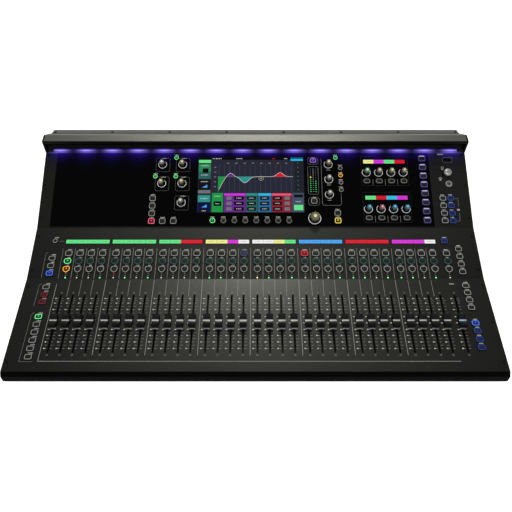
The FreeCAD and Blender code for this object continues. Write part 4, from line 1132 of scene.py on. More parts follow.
@dataclass(frozen=True)
class FaderCaps:
    """The caps and stems of one bank of faders.

    crest is the distance from the cap's middle to each crest, dip the depth of the dish between them, and
    line half the width of the white line. Each end falls by drop, to in_set from the cap's end, and then
    to its heel, whose points are given in from the end and up from the foot.
    """

    node: str
    side: Finish = DULL_ABS
    # the finish of the painted sheen on the finger rest
    sheen: Finish = SHEEN_ABS
    height: float = 12.0
    tongue: tuple[float, float] = (1.8, 6.0)
    grip: float = 0.5
    crest: float = 10.6
    dip: float = 4.2
    line: float = 0.9
    drop: float = 2.0
    in_set: float = 1.4
    heel: tuple[tuple[float, float], ...] = ((1.3, 1.7), (0.0, 0.8), (0.0, 0.0))
    chamfer: float = 0.6
    end_share: float = 0.95

    def section(self, seat: Seat) -> tuple[np.ndarray, list[int]]:
        """The cap's side outline.

        The top is a parabola: its lowest level plus the dip times (t over the crest's distance) squared,
        out to both crests. From there the ends fall away in a quarter ellipse, then straight to a
        small rim at the foot.

        Args:
            seat: the cap's box.

        Returns:
            t and h of the outline's points, and the material slot of the face after each.
        """
        half, top, low = seat.length / 2, seat.top, seat.top - self.height
        mark = self.line / self.crest
        t = np.array([-1.0, -0.8, -0.6, -0.4, -0.22, -mark, mark, 0.22, 0.4, 0.6, 0.8, 1.0]) * self.crest
        dish = np.stack([t, top - self.dip + self.dip * (t / self.crest) ** 2], axis=1)
        reach = np.array([half - self.in_set - self.crest, self.drop])
        back = np.array([self.crest, top - self.drop]) + reach * arc(1.0, 60.0, 0.0, 3)
        heel = np.array([[half - across, low + up] for across, up in self.heel])
        rise = np.concatenate([dish, back, heel])
        front = np.concatenate([back, heel])[::-1] * np.array([-1.0, 1.0])
        outline = np.concatenate([rise, front])
        slots = [CapFace.SIDE] * len(outline)
        # The faces either side of the white line take the painted sheen.
        slots[3] = slots[4] = slots[6] = CapFace.SHEEN
        slots[5] = CapFace.LINE
        # The faces at the foot take the rim's painted highlight.
        slots[len(rise)] = slots[len(rise) + 1] = CapFace.RIM
        return outline, slots

    def build(self) -> list[float]:
        """Makes the bank's caps and stems.

        Returns:
            The X places of its channels.
        """
        form = Form(FADER_DECK)
        places = seats(self.node, FADER_DECK)
        for seat in places:
            self.stem(form, seat)
            outline, slots = self.section(seat)
            middle = np.array([0.0, seat.top - self.height / 2])
            half, rings = seat.width / 2, []
            for x in (-half, -half + self.chamfer, half - self.chamfer, half):
                share = self.end_share if abs(x) == half else 1.0
                flat = middle + (outline - middle) * share
                rings.append(np.column_stack([np.full(len(flat), x), flat]))
            form.add(loft(np.array(rings)), (seat.x, seat.t),
                     slots * (len(rings) - 1) + [CapFace.SIDE, CapFace.SIDE])
        # Slot by slot: black sides, white line, the rim's painted highlight, steel stems and the painted sheen.
        finishes = [self.side, WHITE_INLAY, RIM_HIGHLIGHT, ZINC_STEEL, self.sheen]
        stand_for(form.build(self.node + "_caps", finishes, 35.0), self.node)
        return [seat.x for seat in places]

    def stem(self, form: Form, seat: Seat) -> None:
        """Makes the flat steel tongue that carries a cap, from under the panel into the cap's foot.

        Args:
            form: the piece in the making.
            seat: the box of the cap and its stem.
        """
        outline = round_corners(*self.tongue, 0.4, 3)
        levels = [(1, seat.low), (1, seat.top - self.height + self.grip)]
        form.add(loft(raised(outline, levels)), (seat.x, seat.t), CapFace.STEM)


@dataclass(frozen=True)
class Knob:
    """A rotary knob: flared black skirt, lobed body with a frosted cap let into it, and the shaft.

    neck and dome are shares of the skirt's radius. skirt gives heights, and grip, cap and lens give
    radii and heights, all as shares: heights of the knob's, and radii of the neck's or the dome's.
    """

    node: str
    ink: Ink = Ink.YELLOW
    frost: Finish = LIT_CAP
    lobes: int = 6
    lobe_depth: float = 0.12
    neck: float = 0.7
    dome: float = 0.3
    lobe_shade: float = 0.22
    dome_shade: float = 0.85
    around: int = 72
    flare: tuple[float, float, float] = (0.1, 0.36, 1.6)
    skirt: tuple[float, ...] = (0.0, 0.06, 0.1, 0.16, 0.26, 0.38, 0.46)
    grip: tuple[tuple[float, float], ...] = ((0.94, 0.42), (1.0, 0.5), (0.98, 0.82))
    cap: tuple[tuple[float, float], ...] = ((0.98, 0.8), (0.98, 0.9), (0.88, 0.95), (0.7, 0.96))
    lens: tuple[tuple[float, float], ...] = ((1.0, 0.93), (1.0, 0.975), (0.9, 0.985), (0.6, 0.996),
                                             (0.2, 1.0))

    def build(self) -> Seat:
        """Makes the knob in its CAD node's place.

        The skirt's radius is the neck's plus the rest times (one less the height over the flare's length)
        to the flare's power. The body's radius waves by the lobe depth round its turn.

        Returns:
            The knob's seat.
        """
        solids = seats(self.node, SCREEN_DECK)
        body = max(solids, key=lambda solid: solid.width)
        shaft = min(solids, key=lambda solid: solid.width)
        spot, radius, height = (body.x, body.t), body.width / 2, body.top - body.low
        form = Form(SCREEN_DECK)
        turn = np.linspace(0, 2 * math.pi, self.around, endpoint=False)
        ring = circle(1.0, self.around)
        lobed = ring * (1 + self.lobe_depth * np.cos(self.lobes * turn))[:, None]
        lobed /= lobed.max()
        start, length, power = self.flare
        rise = np.array(self.skirt)
        flared = self.neck + (1 - self.neck) * np.clip(1 - (rise - start) / length, 0, 1) ** power
        parts = ((ring, 1.0, tuple(zip(flared, rise)), 0, Ink.BLACK, 1.0),
                 (lobed, self.neck, self.grip, 0, Ink.BLACK, 1.0),
                 (lobed, self.neck, self.cap, 1, self.ink, self.lobe_shade),
                 (ring, self.dome, self.lens, 1, self.ink, self.dome_shade))
        for outline, share, steps, slot, ink, shade in parts:
            levels = [(radius * share * scale, body.low + height * step) for scale, step in steps]
            form.add(loft(raised(outline, levels)), spot, slot, ink, shade)
        form.add(loft(raised(circle(shaft.width / 2, 24), [(1, shaft.low), (1, body.low + 0.2)])), spot, 2)
        stand_for(form.build(self.node + "_knob", [GLOSSY_ABS, self.frost, ZINC_STEEL], 40.0), self.node)
        return body


@dataclass(frozen=True)
class FaderField:
    """Everything on the fader deck: caps, side keys and the print between them.

    rows and ticks are up the deck from the slots' middle. figure, figure_tick and tick give a mark's
    distance from its slot, its width and its height. slot_end, above_slot and line_top are where the
    lines between channels start and end, and frame_low and frame_high where the frame does.
    """

    rows: tuple[float, ...] = (47.0, 37.9, 25.4, 11.6, -0.3, -12.5, -23.5, -35.4, -47.0)
    ticks: tuple[float, ...] = (42.5, 31.6, 18.5, 5.6, -6.4, -18.1, -29.5, -41.3)
    figure: tuple[float, float, float] = (7.2, 2.4, 1.7)
    figure_tick: tuple[float, float, float] = (4.1, 2.8, 0.6)
    tick: tuple[float, float, float] = (4.9, 4.4, 0.6)
    far_dot: float = 58.5
    dot: float = 1.4
    slot_end: float = -59.0
    above_slot: float = 52.0
    line_top: float = 85.0
    frame_low: float = -69.5
    frame_high: float = 76.6
    key_label: tuple[float, float] = (7.5, 2.0)
    key_margin: tuple[float, float] = (7.6, 8.6)

    def build(self) -> list[float]:
        """Makes the faders, the keys beside them and their print.

        Returns:
            The X places of all channels, the master last.
        """
        channels = []
        for node in BANKS + ["master_fader"]:
            # Each cap gets a painted sheen on its finger rest, blue on the master.
            channels += FaderCaps(node, sheen=SHEEN_ABS if node in BANKS else BLUE_SHEEN_ABS).build()
        middle = max(seats("master_fader", FADER_DECK), key=lambda seat: seat.length).t
        art = Artwork(FADER_DECK)
        for x in channels:
            self.scale(art, x, middle)
        self.dividers(art, channels, middle)
        keys = KeyBank("fader_deck_keys", FADER_DECK, lit={5: Ink.GREEN, 12: Ink.KEY_BLUE},
                       tinted={6: Ink.DIM_RED, 7: Ink.DIM_RED, 9: Ink.NIGHT_BLUE, 10: Ink.NIGHT_BLUE,
                               11: Ink.NIGHT_BLUE}).build()
        self.side_print(art, keys)
        art.caption((channels[-1], middle + self.frame_high + 0.2), 9.0, 1.8, Ink.WHITE)
        fix(art.build("fader_deck_print", [EPOXY_INK]))
        return channels

    def scale(self, art: Artwork, x: float, middle: float) -> None:
        """Prints the figures and ticks beside one slot, and the small ring beyond each of its ends.

        Args:
            art: the deck's print.
            x: the slot's place across.
            middle: the slots' middle up the deck.
        """
        for row in self.rows:
            art.bar((x - self.figure[0], middle + row), self.figure[1:], Ink.WHITE)
            for side in (-1, 1):
                art.bar((x + side * self.figure_tick[0], middle + row), self.figure_tick[1:], Ink.PALE)
        for row in self.ticks:
            for side in (-1, 1):
                art.bar((x + side * self.tick[0], middle + row), self.tick[1:], Ink.LINE)
        for side in (-1, 1):
            art.loop(circle(self.dot, 12), (x, middle + side * self.far_dot), 0.45, Ink.LINE)

    def dividers(self, art: Artwork, channels: list[float], middle: float) -> None:
        """Prints the lines between channels, longer between banks, and the frame round them.

        Args:
            art: the deck's print.
            channels: X places of the channels, the master last.
            middle: the slots' middle up the deck.
        """
        pitch = channels[1] - channels[0]
        for index, x in enumerate(channels[:-2]):
            between = (x + channels[index + 1]) / 2
            low, width = (self.slot_end, 0.7) if index % 4 == 3 else (self.above_slot, 0.5)
            art.line([(between, middle + low), (between, middle + self.line_top)], width, Ink.PALE)
        left, right = channels[0] - 0.6 * pitch, channels[-2] + 0.5 * pitch
        low, high = middle + self.frame_low, middle + self.frame_high
        art.line([(left, high), (left, low), (right, low)], 0.7, Ink.PALE)

    def side_print(self, art: Artwork, keys: list[Seat]) -> None:
        """Prints captions above the side keys and the brackets that gather them.

        Args:
            art: the deck's print.
            keys: the side keys' seats.
        """
        for key in keys:
            art.over(key, 2.7, self.key_label, 1.5)
        left = [key for key in keys if key.x < 0]
        x = left[0].x
        under, above = self.key_margin
        for group, foot in ((left[:6], x + 8.0), (left[6:], None)):
            art.gather(x, group[-1].t + above, group[0].t - under, foot)


@dataclass(frozen=True)
class KeyField:
    """Everything on the key deck: channel keys, name displays, signal lights and print.

    colours are the displays' fields from left to right. captions gives the middle of each row of keys up
    the deck, and its captions' width. green, yellow and red say which channels' lights are on.
    """

    colours: tuple[tuple[Ink, ...], ...] = (
        (Ink.GREEN,) * 4, (Ink.GREEN,) * 4, (Ink.GREEN, Ink.GREEN, Ink.RED, Ink.RED), (Ink.YELLOW,) * 2
        + (Ink.MAGENTA, Ink.PAPER), (Ink.PAPER, Ink.PAPER, Ink.YELLOW, Ink.GREEN), (Ink.BLUE,) * 4,
        (Ink.RED,) * 4, (Ink.MAGENTA,) * 3 + (Ink.PAPER,))
    captions: tuple[tuple[float, float], ...] = ((50.0, 8.4), (34.5, 5.2), (19.0, 5.2))
    lamp_rows: tuple[float, ...] = (2.6, 6.8, 10.8)
    green: frozenset[int] = frozenset((0, 3, 5, 7, 12, 13, 17, 19, 23, 24, 25, 27, 28, 29, 31))
    yellow: frozenset[int] = frozenset((16,))
    red: frozenset[int] = frozenset((4,))
    line_foot: float = 0.8
    line_top: float = 61.0

    def build(self, channels: list[float]) -> None:
        """Makes the key deck.

        Args:
            channels: X places of the channels, the master last.
        """
        KeyBank("mute_keys", KEY_DECK, lit={20: Ink.RED}, tinted={15: Ink.VIOLET}, inset=1.0).build()
        KeyBank("select_keys", KEY_DECK, KeyShape.OVAL, Ink.DIM_TEAL, {0: Ink.GREEN}, inset=0.8).build()
        KeyBank("listen_keys", KEY_DECK, KeyShape.SHIELD, lit={0: Ink.ORANGE}, inset=1.0).build()
        art = Artwork(KEY_DECK)
        sides = KeyBank("side_keys", KEY_DECK, lit={0: Ink.KEY_BLUE}, tinted={4: Ink.NIGHT_BLUE}).build()
        for key in sides:
            art.over(key, 2.7, (7.5, 2.0), 1.5)
        self.channel_print(art, channels)
        left = sides[0].x
        art.gather(left, 53.0, 3.0)
        art.line([(left + 6.5, sides[3].t), (left + 15.5, sides[3].t)])
        fix(art.build("key_deck_print", [EPOXY_INK]))
        self.lamps(channels)
        self.displays()

    def channel_print(self, art: Artwork, channels: list[float]) -> None:
        """Prints captions over the channel keys and the lines between channels.

        Args:
            art: the deck's print.
            channels: X places of the channels, the master last.
        """
        for x in channels:
            for row, width in self.captions:
                art.caption((x + 0.9, row + 8.0), width, 1.7, Ink.WHITE)
        for index, x in enumerate(channels[:-2]):
            between = (x + channels[index + 1]) / 2
            art.line([(between, self.line_foot), (between, self.line_top)], 0.5, Ink.PALE)
        left = channels[0] - 0.6 * (channels[1] - channels[0])
        art.line([(left, self.line_foot), (left, self.line_top)])

    def lamps(self, channels: list[float]) -> None:
        """Makes three signal lights under each channel's keys, some of them lit.

        Args:
            channels: X places of the channels, the master last.
        """
        lights = Artwork(KEY_DECK)
        for index, x in enumerate(channels):
            signal = Ink.GREEN if index in self.green else Ink.YELLOW if index in self.yellow else Ink.PALE
            peak = Ink.RED if index in self.red else Ink.FAINT
            inks, radii = (signal, Ink.FAINT, peak), (1.25, 0.8, 0.8)
            for row, ink, radius in zip(self.lamp_rows, inks, radii):
                lights.patch(circle(radius, 10), (x, row), ink)
        fix(lights.build("signal_lights", [LIT_GUIDE]))

    def displays(self) -> None:
        """Draws the eight name displays' pictures: four coloured fields each, with a row of type blocks."""
        picture = Artwork(KEY_DECK)
        panes = [pane for pane in seats("channel_displays", KEY_DECK) if pane.t < 100.0]
        for pane, inks in zip(panes, self.colours):
            NameStrip(pane, inks).draw(picture)
        fix(picture.build("name_display_pictures", [LIT_DISPLAY]))


@dataclass(frozen=True)
class NameStrip:
    """What one name display shows: coloured fields side by side."""

    pane: Seat
    inks: tuple[Ink, ...]
    margin: float = 0.9
    gap: float = 0.3
    type_size: tuple[float, float] = (0.5, 0.9)

    def draw(self, picture: Artwork) -> None:
        """Draws the fields just above the display's glass.

        Args:
            picture: the picture that several displays share.
        """
        picture.level = self.pane.top
        step = (self.pane.width - 2 * self.margin) / len(self.inks)
        height = self.pane.length - 2 * self.margin
        for index, ink in enumerate(self.inks):
            x = self.pane.x - self.pane.width / 2 + self.margin + (index + 0.5) * step
            picture.bar((x, self.pane.t), (step - self.gap, height), ink)
            dark = Ink.LEAF if ink is Ink.GREEN else Ink.GREY
            if ink in (Ink.RED, Ink.BLUE, Ink.MAGENTA):
                dark = Ink.PLUM
            share, tall = self.type_size
            picture.caption((x, self.pane.t), step * share, tall, dark, 1)


@dataclass(frozen=True)
class TouchPicture:
    """What the touchscreen shows: an equaliser curve over tiles of its controls.

    Places are shares of the screen's width and height, from its lower left corner. cut gives the low
    cut's depth, corner, reach and power, and hills each bell's middle, reach, height and ink.
    """

    pane: Seat
    art: Artwork
    zero: float = 0.64
    cut: tuple[float, float, float, float] = (0.28, 0.283, 0.09, 1.6)
    hills: tuple[tuple[float, float, float, Ink], ...] = (
        (0.31, 0.032, 0.065, Ink.PLUM), (0.443, 0.05, -0.11, Ink.TEAL), (0.774, 0.04, 0.075, Ink.RED))

    def spot(self, u: float, v: float) -> tuple[float, float]:
        """The deck place of a share across and a share up."""
        return self.pane.x + (u - 0.5) * self.pane.width, self.pane.t + (v - 0.5) * self.pane.length

    def tile(self, across: tuple[float, float], up: tuple[float, float], ink: Ink, layer: int = 1) -> None:
        """A filled field between two shares across and two up."""
        size = ((across[1] - across[0]) * self.pane.width, (up[1] - up[0]) * self.pane.length)
        self.art.bar(self.spot(sum(across) / 2, sum(up) / 2), size, ink, layer)

    def words(self, u: float, v: float, width: float, ink: Ink = Ink.WHITE) -> None:
        """A row of type blocks, in shares of the screen."""
        self.art.caption(self.spot(u, v), width * self.pane.width, 1.6, ink, 4)

    def draw(self) -> None:
        """Draws the whole picture, one layer over another."""
        self.tile((0.004, 0.996), (0.008, 0.992), Ink.SLATE, 0)
        self.channel_column()
        self.top_bar()
        self.graph()
        self.controls()

    def channel_column(self) -> None:
        """The stack of tiles down the left edge."""
        for up, ink in (((0.95, 0.99), Ink.BLACK), ((0.89, 0.945), Ink.GREEN), ((0.735, 0.87), Ink.LEAF),
                        ((0.6, 0.735), Ink.DIM_TEAL), ((0.33, 0.595), Ink.DARK), ((0.19, 0.31), Ink.TEAL),
                        ((0.01, 0.18), Ink.MIDNIGHT)):
            self.tile((0.008, 0.122), up, ink)
        self.tile((0.008, 0.122), (0.34, 0.4), Ink.GREY, 2)
        self.tile((0.045, 0.1), (0.71, 0.79), Ink.BLACK, 2)
        for v in (0.84, 0.67, 0.55, 0.25):
            self.words(0.065, v, 0.07)
        for v in (0.47, 0.12):
            wedge = np.array([[-4.0, -3.0], [6.0, -3.0], [6.0, 3.0]])
            self.art.patch(wedge, self.spot(0.062, v), Ink.BLUE, 2)
        self.words(0.065, 0.035, 0.04, Ink.LEMON)

    def top_bar(self) -> None:
        """The bar of page names along the top, with the scene field at its right end."""
        self.tile((0.127, 0.872), (0.948, 0.99), Ink.BLACK)
        for u, width, ink in ((0.18, 0.09, Ink.WHITE), (0.39, 0.06, Ink.WHITE), (0.715, 0.03, Ink.RED),
                              (0.83, 0.03, Ink.WHITE)):
            self.words(u, 0.969, width, ink)
        self.tile((0.877, 0.992), (0.94, 0.99), Ink.DEEP_TEAL)
        self.tile((0.877, 0.992), (0.93, 0.958), Ink.CYAN, 2)

    def level(self, u: np.ndarray) -> np.ndarray:
        """Works out the curve's height.

        Each bell is its height times e to minus (distance over reach) squared. The low cut falls with
        its power below its corner, and is taken off.

        Args:
            u: shares across the screen.

        Returns:
            Shares up the screen.
        """
        depth, corner, reach, power = self.cut
        cut = depth * np.clip((corner - u) / reach, 0, 1) ** power
        return self.zero - cut + sum(rise * np.exp(-((u - middle) / reach) ** 2)
                                     for middle, reach, rise, _ in self.hills)

    def fill(self, start: float, stop: float, height: np.ndarray, ink: Ink) -> None:
        """Fills the field between the zero line and a curve, as a strip of quads.

        Args:
            start: share across where the field starts.
            stop: share across where it ends.
            height: the curve's height at even steps between them.
            ink: the field's colour.
        """
        u = np.linspace(start, stop, len(height))
        low, high = np.minimum(height, self.zero), np.maximum(height, self.zero)
        for here in range(len(u) - 1):
            corners = [(u[here], low[here]), (u[here + 1], low[here + 1]), (u[here + 1], high[here + 1]),
                       (u[here], high[here])]
            outline = np.array([self.spot(*corner) for corner in corners])
            if max(high[here] - low[here], high[here + 1] - low[here + 1]) > 0.004:
                self.art.patch(outline, (0.0, 0.0), ink, 2)

    def graph(self) -> None:
        """The grid, the filled bells, the curve over them and its handle."""
        self.tile((0.91, 0.992), (0.36, 0.925), Ink.DUSK)
        for v in np.arange(0.4, 0.9, 0.08):
            self.tile((0.938, 0.948), (v, v + 0.014), Ink.LEAF, 2)
        for u in np.arange(0.2, 0.88, 0.0485):
            self.tile((u, u + 0.002), (0.36, 0.86), Ink.STEEL_BLUE)
        for u in np.arange(0.283, 0.84, 0.0785):
            self.words(u, 0.885, 0.022, Ink.PALE)
        for v in np.arange(0.46, 0.83, 0.0875):
            self.words(0.163, v, 0.018, Ink.PALE)
        self.tile((0.184, 0.896), (self.zero - 0.003, self.zero + 0.003), Ink.GREY)
        low = np.linspace(0.193, 0.283, 10)
        self.fill(0.193, 0.283, self.level(low), Ink.DEEP_GREEN)
        for middle, reach, rise, ink in self.hills:
            away = np.linspace(-2.0, 2.0, 17)
            self.fill(middle - 2 * reach, middle + 2 * reach, self.zero + rise * np.exp(-away ** 2), ink)
        u = np.linspace(0.205, 0.896, 70)
        path = np.array([self.spot(*place) for place in zip(u, self.level(u))])
        low = self.art.level + 3 * self.art.rise
        self.art.add(ribbon(path, 0.7, low, low + self.art.rise, False), ink=Ink.WHITE)
        self.art.add(ribbon(circle(4.2, 24), 0.9, low, low + self.art.rise, True), self.spot(0.596, 0.61),
                     ink=Ink.PALE)
        self.art.patch(superellipse(3.4, 3.4, 1.0, 4), self.spot(0.596, 0.61), Ink.LEMON, 4)

    def controls(self) -> None:
        """The tiles below the graph: a cut, four bands with three values each, and a switch."""
        for across, ink in (((0.138, 0.242), Ink.DEEP_GREEN), ((0.252, 0.451), Ink.PLUM),
                            ((0.457, 0.562), Ink.DIM_TEAL), ((0.568, 0.69), Ink.INDIGO),
                            ((0.696, 0.877), Ink.MAROON), ((0.882, 0.992), Ink.STEEL_BLUE)):
            self.tile(across, (0.012, 0.349), ink)
        self.tile((0.155, 0.226), (0.12, 0.2), Ink.BLACK, 2)
        self.words(0.19, 0.29, 0.06)
        self.words(0.19, 0.16, 0.04)
        for across, ink in (((0.252, 0.451), Ink.MAGENTA), ((0.457, 0.562), Ink.TEAL),
                            ((0.568, 0.69), Ink.CYAN), ((0.696, 0.877), Ink.PINK)):
            self.tile(across, (0.303, 0.339), ink, 2)
        for v in (0.257, 0.165, 0.068):
            for across in ((0.344, 0.434), (0.465, 0.547), (0.586, 0.669), (0.705, 0.788)):
                self.tile(across, (v - 0.03, v + 0.03), Ink.BLACK, 2)
                self.words(sum(across) / 2, v, 0.05)
            for across in ((0.273, 0.322), (0.812, 0.862)):
                self.tile(across, (v - 0.03, v + 0.03), Ink.GREY, 2)
        self.tile((0.9, 0.984), (0.046, 0.138), Ink.GREEN, 2)
        self.tile((0.9, 0.984), (0.27, 0.32), Ink.DARK, 2)
        self.words(0.94, 0.196, 0.05)


@dataclass(frozen=True)
class ScreenField:
    """Everything on the steep deck: touchscreen, knobs, soft rotaries, keys, meter and print.

    Each frame gives its width, length and corner radius, in millimetres, but the octagon's last number
    is its outline's power, and the meter's length is what the frame has beyond the lights. led is one
    level light's width, length and corner radius, and divider the ends of the lines between rotaries.
    """

    ring_gap: float = 0.5
    leds: int = 12
    led: tuple[float, float, float] = (2.2, 1.7, 0.7)
    led_side: float = 4.9
    meter_frame: tuple[float, float, float] = (19.6, 10.6, 2.6)
    octagon_frame: tuple[float, float, float] = (21.0, 17.0, 3.0)
    talk_frame: tuple[float, float, float] = (19.1, 13.4, 2.4)
    knob_frame: tuple[float, float, float] = (26.0, 28.5, 3.4)
    rotary_frame: tuple[float, float, float] = (88.8, 60.4, 3.0)
    divider: tuple[float, float] = (-25.5, -13.5)
    strip_inks: tuple[tuple[Ink, ...], ...] = ((Ink.GREEN, Ink.RED, Ink.CYAN, Ink.MAGENTA),
                                               (Ink.YELLOW, Ink.MAGENTA, Ink.GREEN, Ink.RED))
    rotary_inks: tuple[Ink, ...] = (Ink.MINT, Ink.SAND, Ink.SAND, Ink.SAND, Ink.SKY, Ink.ROSE,
                                    Ink.SKY, Ink.SKY)

    def build(self) -> None:
        """Makes the screen deck."""
        face = seats("gloss_fascia", SCREEN_DECK)[0].top
        art = Artwork(SCREEN_DECK, level=face)
        processing = self.keys(art)
        self.strip_knobs(art)
        self.rotaries(art)
        self.meter(art, processing[9], processing[10])
        fix(art.build("fascia_print", [EPOXY_INK]))
        self.pictures()
        self.margin()

    def keys(self, art: Artwork) -> list[Seat]:
        """The keys beside and below the screen, with their captions.

        Args:
            art: the fascia's print.

        Returns:
            The seats of the keys round the knobs, from left to right.
        """
        lit = {0: Ink.PINK, 4: Ink.GREEN, 7: Ink.GREEN, 8: Ink.GREEN, 10: Ink.PURPLE, 11: Ink.LEMON,
               13: Ink.GREEN, 16: Ink.ORANGE}
        processing = KeyBank("processing_keys", SCREEN_DECK, lit=lit, guide=0.7).build()
        screen = KeyBank("screen_keys", SCREEN_DECK, ink=Ink.LINE, lit={0: Ink.GREEN}, guide=0.7).build()
        KeyBank("rotary_keys", SCREEN_DECK, KeyShape.OVAL, Ink.LINE, guide=0.8).build()
        KeyBank("soft_keys", SCREEN_DECK, ink=Ink.VIOLET, guide=1.2, label=0.7).build()
        for key in processing + screen:
            art.over(key, 2.0, (8.0, 1.7))
        return processing

    def ring(self, art: Artwork, knob: Seat, width: float, ink: Ink = Ink.PAPER) -> None:
        """The arc printed round a knob, open at the top."""
        art.curve(arc(knob.width / 2 + self.ring_gap, 130.0, 410.0, 40), (knob.x, knob.t), width, ink)

    def strip_knobs(self, art: Artwork) -> None:
        """Makes the knobs left and right of the screen, with the frames that tie each to its keys.

        Args:
            art: the fascia's print.
        """
        inks = {"gain_knob": Ink.WHITE, "high_pass_knob": Ink.SAND, "gate_knob": Ink.SAND,
                "compressor_knob": Ink.SAND, "pan_knob": Ink.WHITE, "high_band_knob": Ink.SAND,
                "mid_band_knob": Ink.WHITE, "low_band_knob": Ink.WHITE}
        knobs = {name: Knob(name, ink).build() for name, ink in inks.items()}
        for name, knob in knobs.items():
            self.ring(art, knob, 0.8)
            if knob.x < 0:
                art.loop(round_corners(*self.knob_frame), (knob.x + 0.8, knob.t - 0.8), 0.4, Ink.FAINT)
                art.caption((knob.x + 3.0, knob.t + 12.6), 9.0, 1.3, Ink.WHITE)
            else:
                art.caption((knob.x, knob.t - 11.6), 7.0, 1.3, Ink.WHITE)
        band = knobs["low_band_knob"]
        left, right, low = band.x - 13.4, band.x + 22.2, band.t - 21.8
        art.line([(left, band.t + 74.0), (left, low + 3.0), (left + 3.0, low), (right - 3.0, low),
                  (right, low + 3.0), (right, low + 24.0)], 0.5, Ink.LINE)
        large = Knob("large_rotary", Ink.SAND, lobes=8, lobe_depth=0.09, neck=0.84, lobe_shade=0.16).build()
        self.ring(art, large, 1.0)

    def rotaries(self, art: Artwork) -> None:
        """Makes the eight soft rotaries, the lines between them and the two fields they stand in.

        Args:
            art: the fascia's print.
        """
        knobs = [Knob(f"soft_rotary_{number}", ink).build()
                 for number, ink in enumerate(self.rotary_inks, 1)]
        middle = sum(knob.x for knob in knobs[:4]) / 4
        for knob in knobs:
            self.ring(art, knob, 0.8)
        for row in (knobs[0].t, knobs[4].t):
            art.loop(round_corners(*self.rotary_frame), (middle, row + 3.4), 0.35, Ink.DUSK)
            for left, right in zip(knobs[:3], knobs[1:4]):
                x = (left.x + right.x) / 2
                art.line([(x, row + end) for end in self.divider], 0.5, Ink.LINE)

    def meter(self, art: Artwork, octagon: Seat, talk: Seat) -> None:
        """Two columns of level lights in a frame, between the talk key and the round one below it.

        Args:
            art: the fascia's print.
            octagon: the key below the meter.
            talk: the key above it.
        """
        x, low, high = talk.x - 0.5, octagon.t + 19.6, talk.t - 16.8
        width, beyond, corner = self.meter_frame
        frames = ((round_corners(width, high - low + beyond, corner), (x, (low + high) / 2)),
                  (superellipse(*self.octagon_frame, 24), (octagon.x, octagon.t)),
                  (round_corners(*self.talk_frame), (talk.x, talk.t)))
        for outline, spot in frames:
            art.loop(outline, spot, 0.4, Ink.LINE)
        lights = Artwork(SCREEN_DECK, level=art.level)
        for row, t in enumerate(np.linspace(high, low, self.leds)):
            art.bar((x, t), (2.2, 0.8), Ink.PALE)
            for side, first in ((-1, 4), (1, 6)):
                ink = Ink.DEEP_GREEN if row >= first else Ink.DUSK
                if side < 0 and row == first:
                    ink = Ink.LEMON
                lights.patch(round_corners(*self.led, 3), (x + side * self.led_side, t), ink)
        fix(lights.build("meter_lights", [LIT_GUIDE]))

    def pictures(self) -> None:
        """The touchscreen's picture and those of the two name displays over the rotaries."""
        pane = seats("touchscreen", SCREEN_DECK)[0]
        screen = Artwork(SCREEN_DECK, level=pane.top, rise=0.03)
        TouchPicture(pane, screen).draw()
        fix(screen.build("touchscreen_picture", [LIT_DISPLAY]))
        names = Artwork(SCREEN_DECK)
        strips = sorted((strip for strip in seats("channel_displays", SCREEN_DECK) if strip.t > 0),
                        key=lambda strip: strip.t)
        for strip, inks in zip(strips, self.strip_inks):
            NameStrip(strip, inks).draw(names)
        fix(names.build("rotary_display_pictures", [LIT_DISPLAY]))

    def margin(self) -> None:
        """The bare steel margin to the right: mute group keys, phones knob, and their print."""
        art = Artwork(SCREEN_DECK)
        groups = KeyBank("mute_group_keys", SCREEN_DECK,
                         tinted={number: Ink.NIGHT_BLUE for number in range(4, 8)}).build()
        for key in groups:
            art.over(key, 2.3, (7.0, 1.8))
        knob = Knob("phones_knob", Ink.PALE, BRIGHT_PLATE, lobes=24, lobe_depth=0.02, neck=0.94,
                    dome=0.6).build()
        self.bracket(art, [key for key in groups if key.x > groups[0].x + groups[0].width])
        port = seats("data_ports", SCREEN_DECK)[-1]
        art.loop(round_corners(port.width + 3.0, port.length + 3.0, 1.5), (port.x, port.t), 0.4)
        art.caption((port.x - 12.0, port.t + 12.0), 12.0, 2.2, Ink.WHITE)
        for spot in ((knob.x - 6.0, knob.t + 13.4), (knob.x - 12.0, knob.t - 8.6)):
            art.loop(round_corners(4.4, 4.4, 2.0), spot, 0.5, Ink.WHITE)
            art.bar((spot[0], spot[1] - 3.4), (3.6, 0.6), Ink.WHITE)
        fix(art.build("margin_print", [EPOXY_INK]))

    def bracket(self, art: Artwork, keys: list[Seat]) -> None:
        """Prints a square bracket beside a column of keys, open in its middle round a small mark.

        Args:
            art: the margin's print.
            keys: the column's seats, from the lowest up.
        """
        off, reach, gap = 2.2, 5.4, 6.0
        near = keys[0].x + keys[0].width / 2 + off
        far = near + reach
        low, high = keys[0].t, keys[-1].t
        middle = (low + high) / 2
        art.line([(near, high), (far, high), (far, middle + gap)])
        art.line([(far, middle - gap), (far, low), (near, low)])
        art.caption((far - 1.0, middle), 5.4, 3.4, Ink.WHITE)


@dataclass(frozen=True)
class RearField:
    """Print on the rear panel: a caption over each socket, and frames round what belongs together.

    frame gives what a frame has beyond its sockets' middles, its length and its corner radius.
    """

    frame: tuple[float, float, float] = (29.0, 76.0, 3.0)

    def build(self) -> None:
        """Makes the rear print."""
        art = Artwork(REAR_DECK)
        rows = {node: [seat for seat in seats(node, REAR_DECK) if seat.top < 20.0]
                for node in ("input_sockets", "output_sockets")}
        for node, sockets in rows.items():
            for socket in sockets:
                art.over(socket, 1.7, (8.0, 1.4))
            left, right = min(seat.x for seat in sockets), max(seat.x for seat in sockets)
            middle = sum(seat.t for seat in sockets) / len(sockets)
            beyond, length, corner = self.frame
            outline = round_corners(right - left + beyond, length, corner)
            art.loop(outline, ((left + right) / 2, middle), 0.4)
        inlet = seats("mains_inlet", REAR_DECK)[0]
        art.over(inlet, 4.0, (20.0, 2.0))
        fix(art.build("rear_print", [EPOXY_INK]))


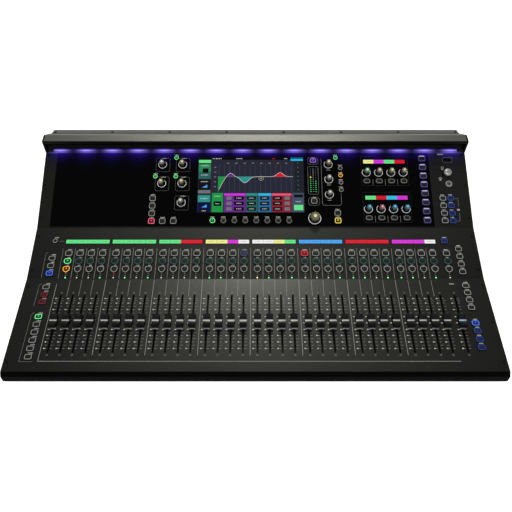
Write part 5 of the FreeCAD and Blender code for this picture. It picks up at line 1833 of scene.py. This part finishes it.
def main() -> None:
    """Builds the studio and the console, one sub-assembly after another."""
    logging.basicConfig(level=logging.INFO, format="%(name)s: %(message)s")
    Studio().build()
    Casing().build()
    channels = FaderField().build()
    KeyField().build(channels)
    ScreenField().build()
    RearField().build()


if __name__ == "__main__":
    main()
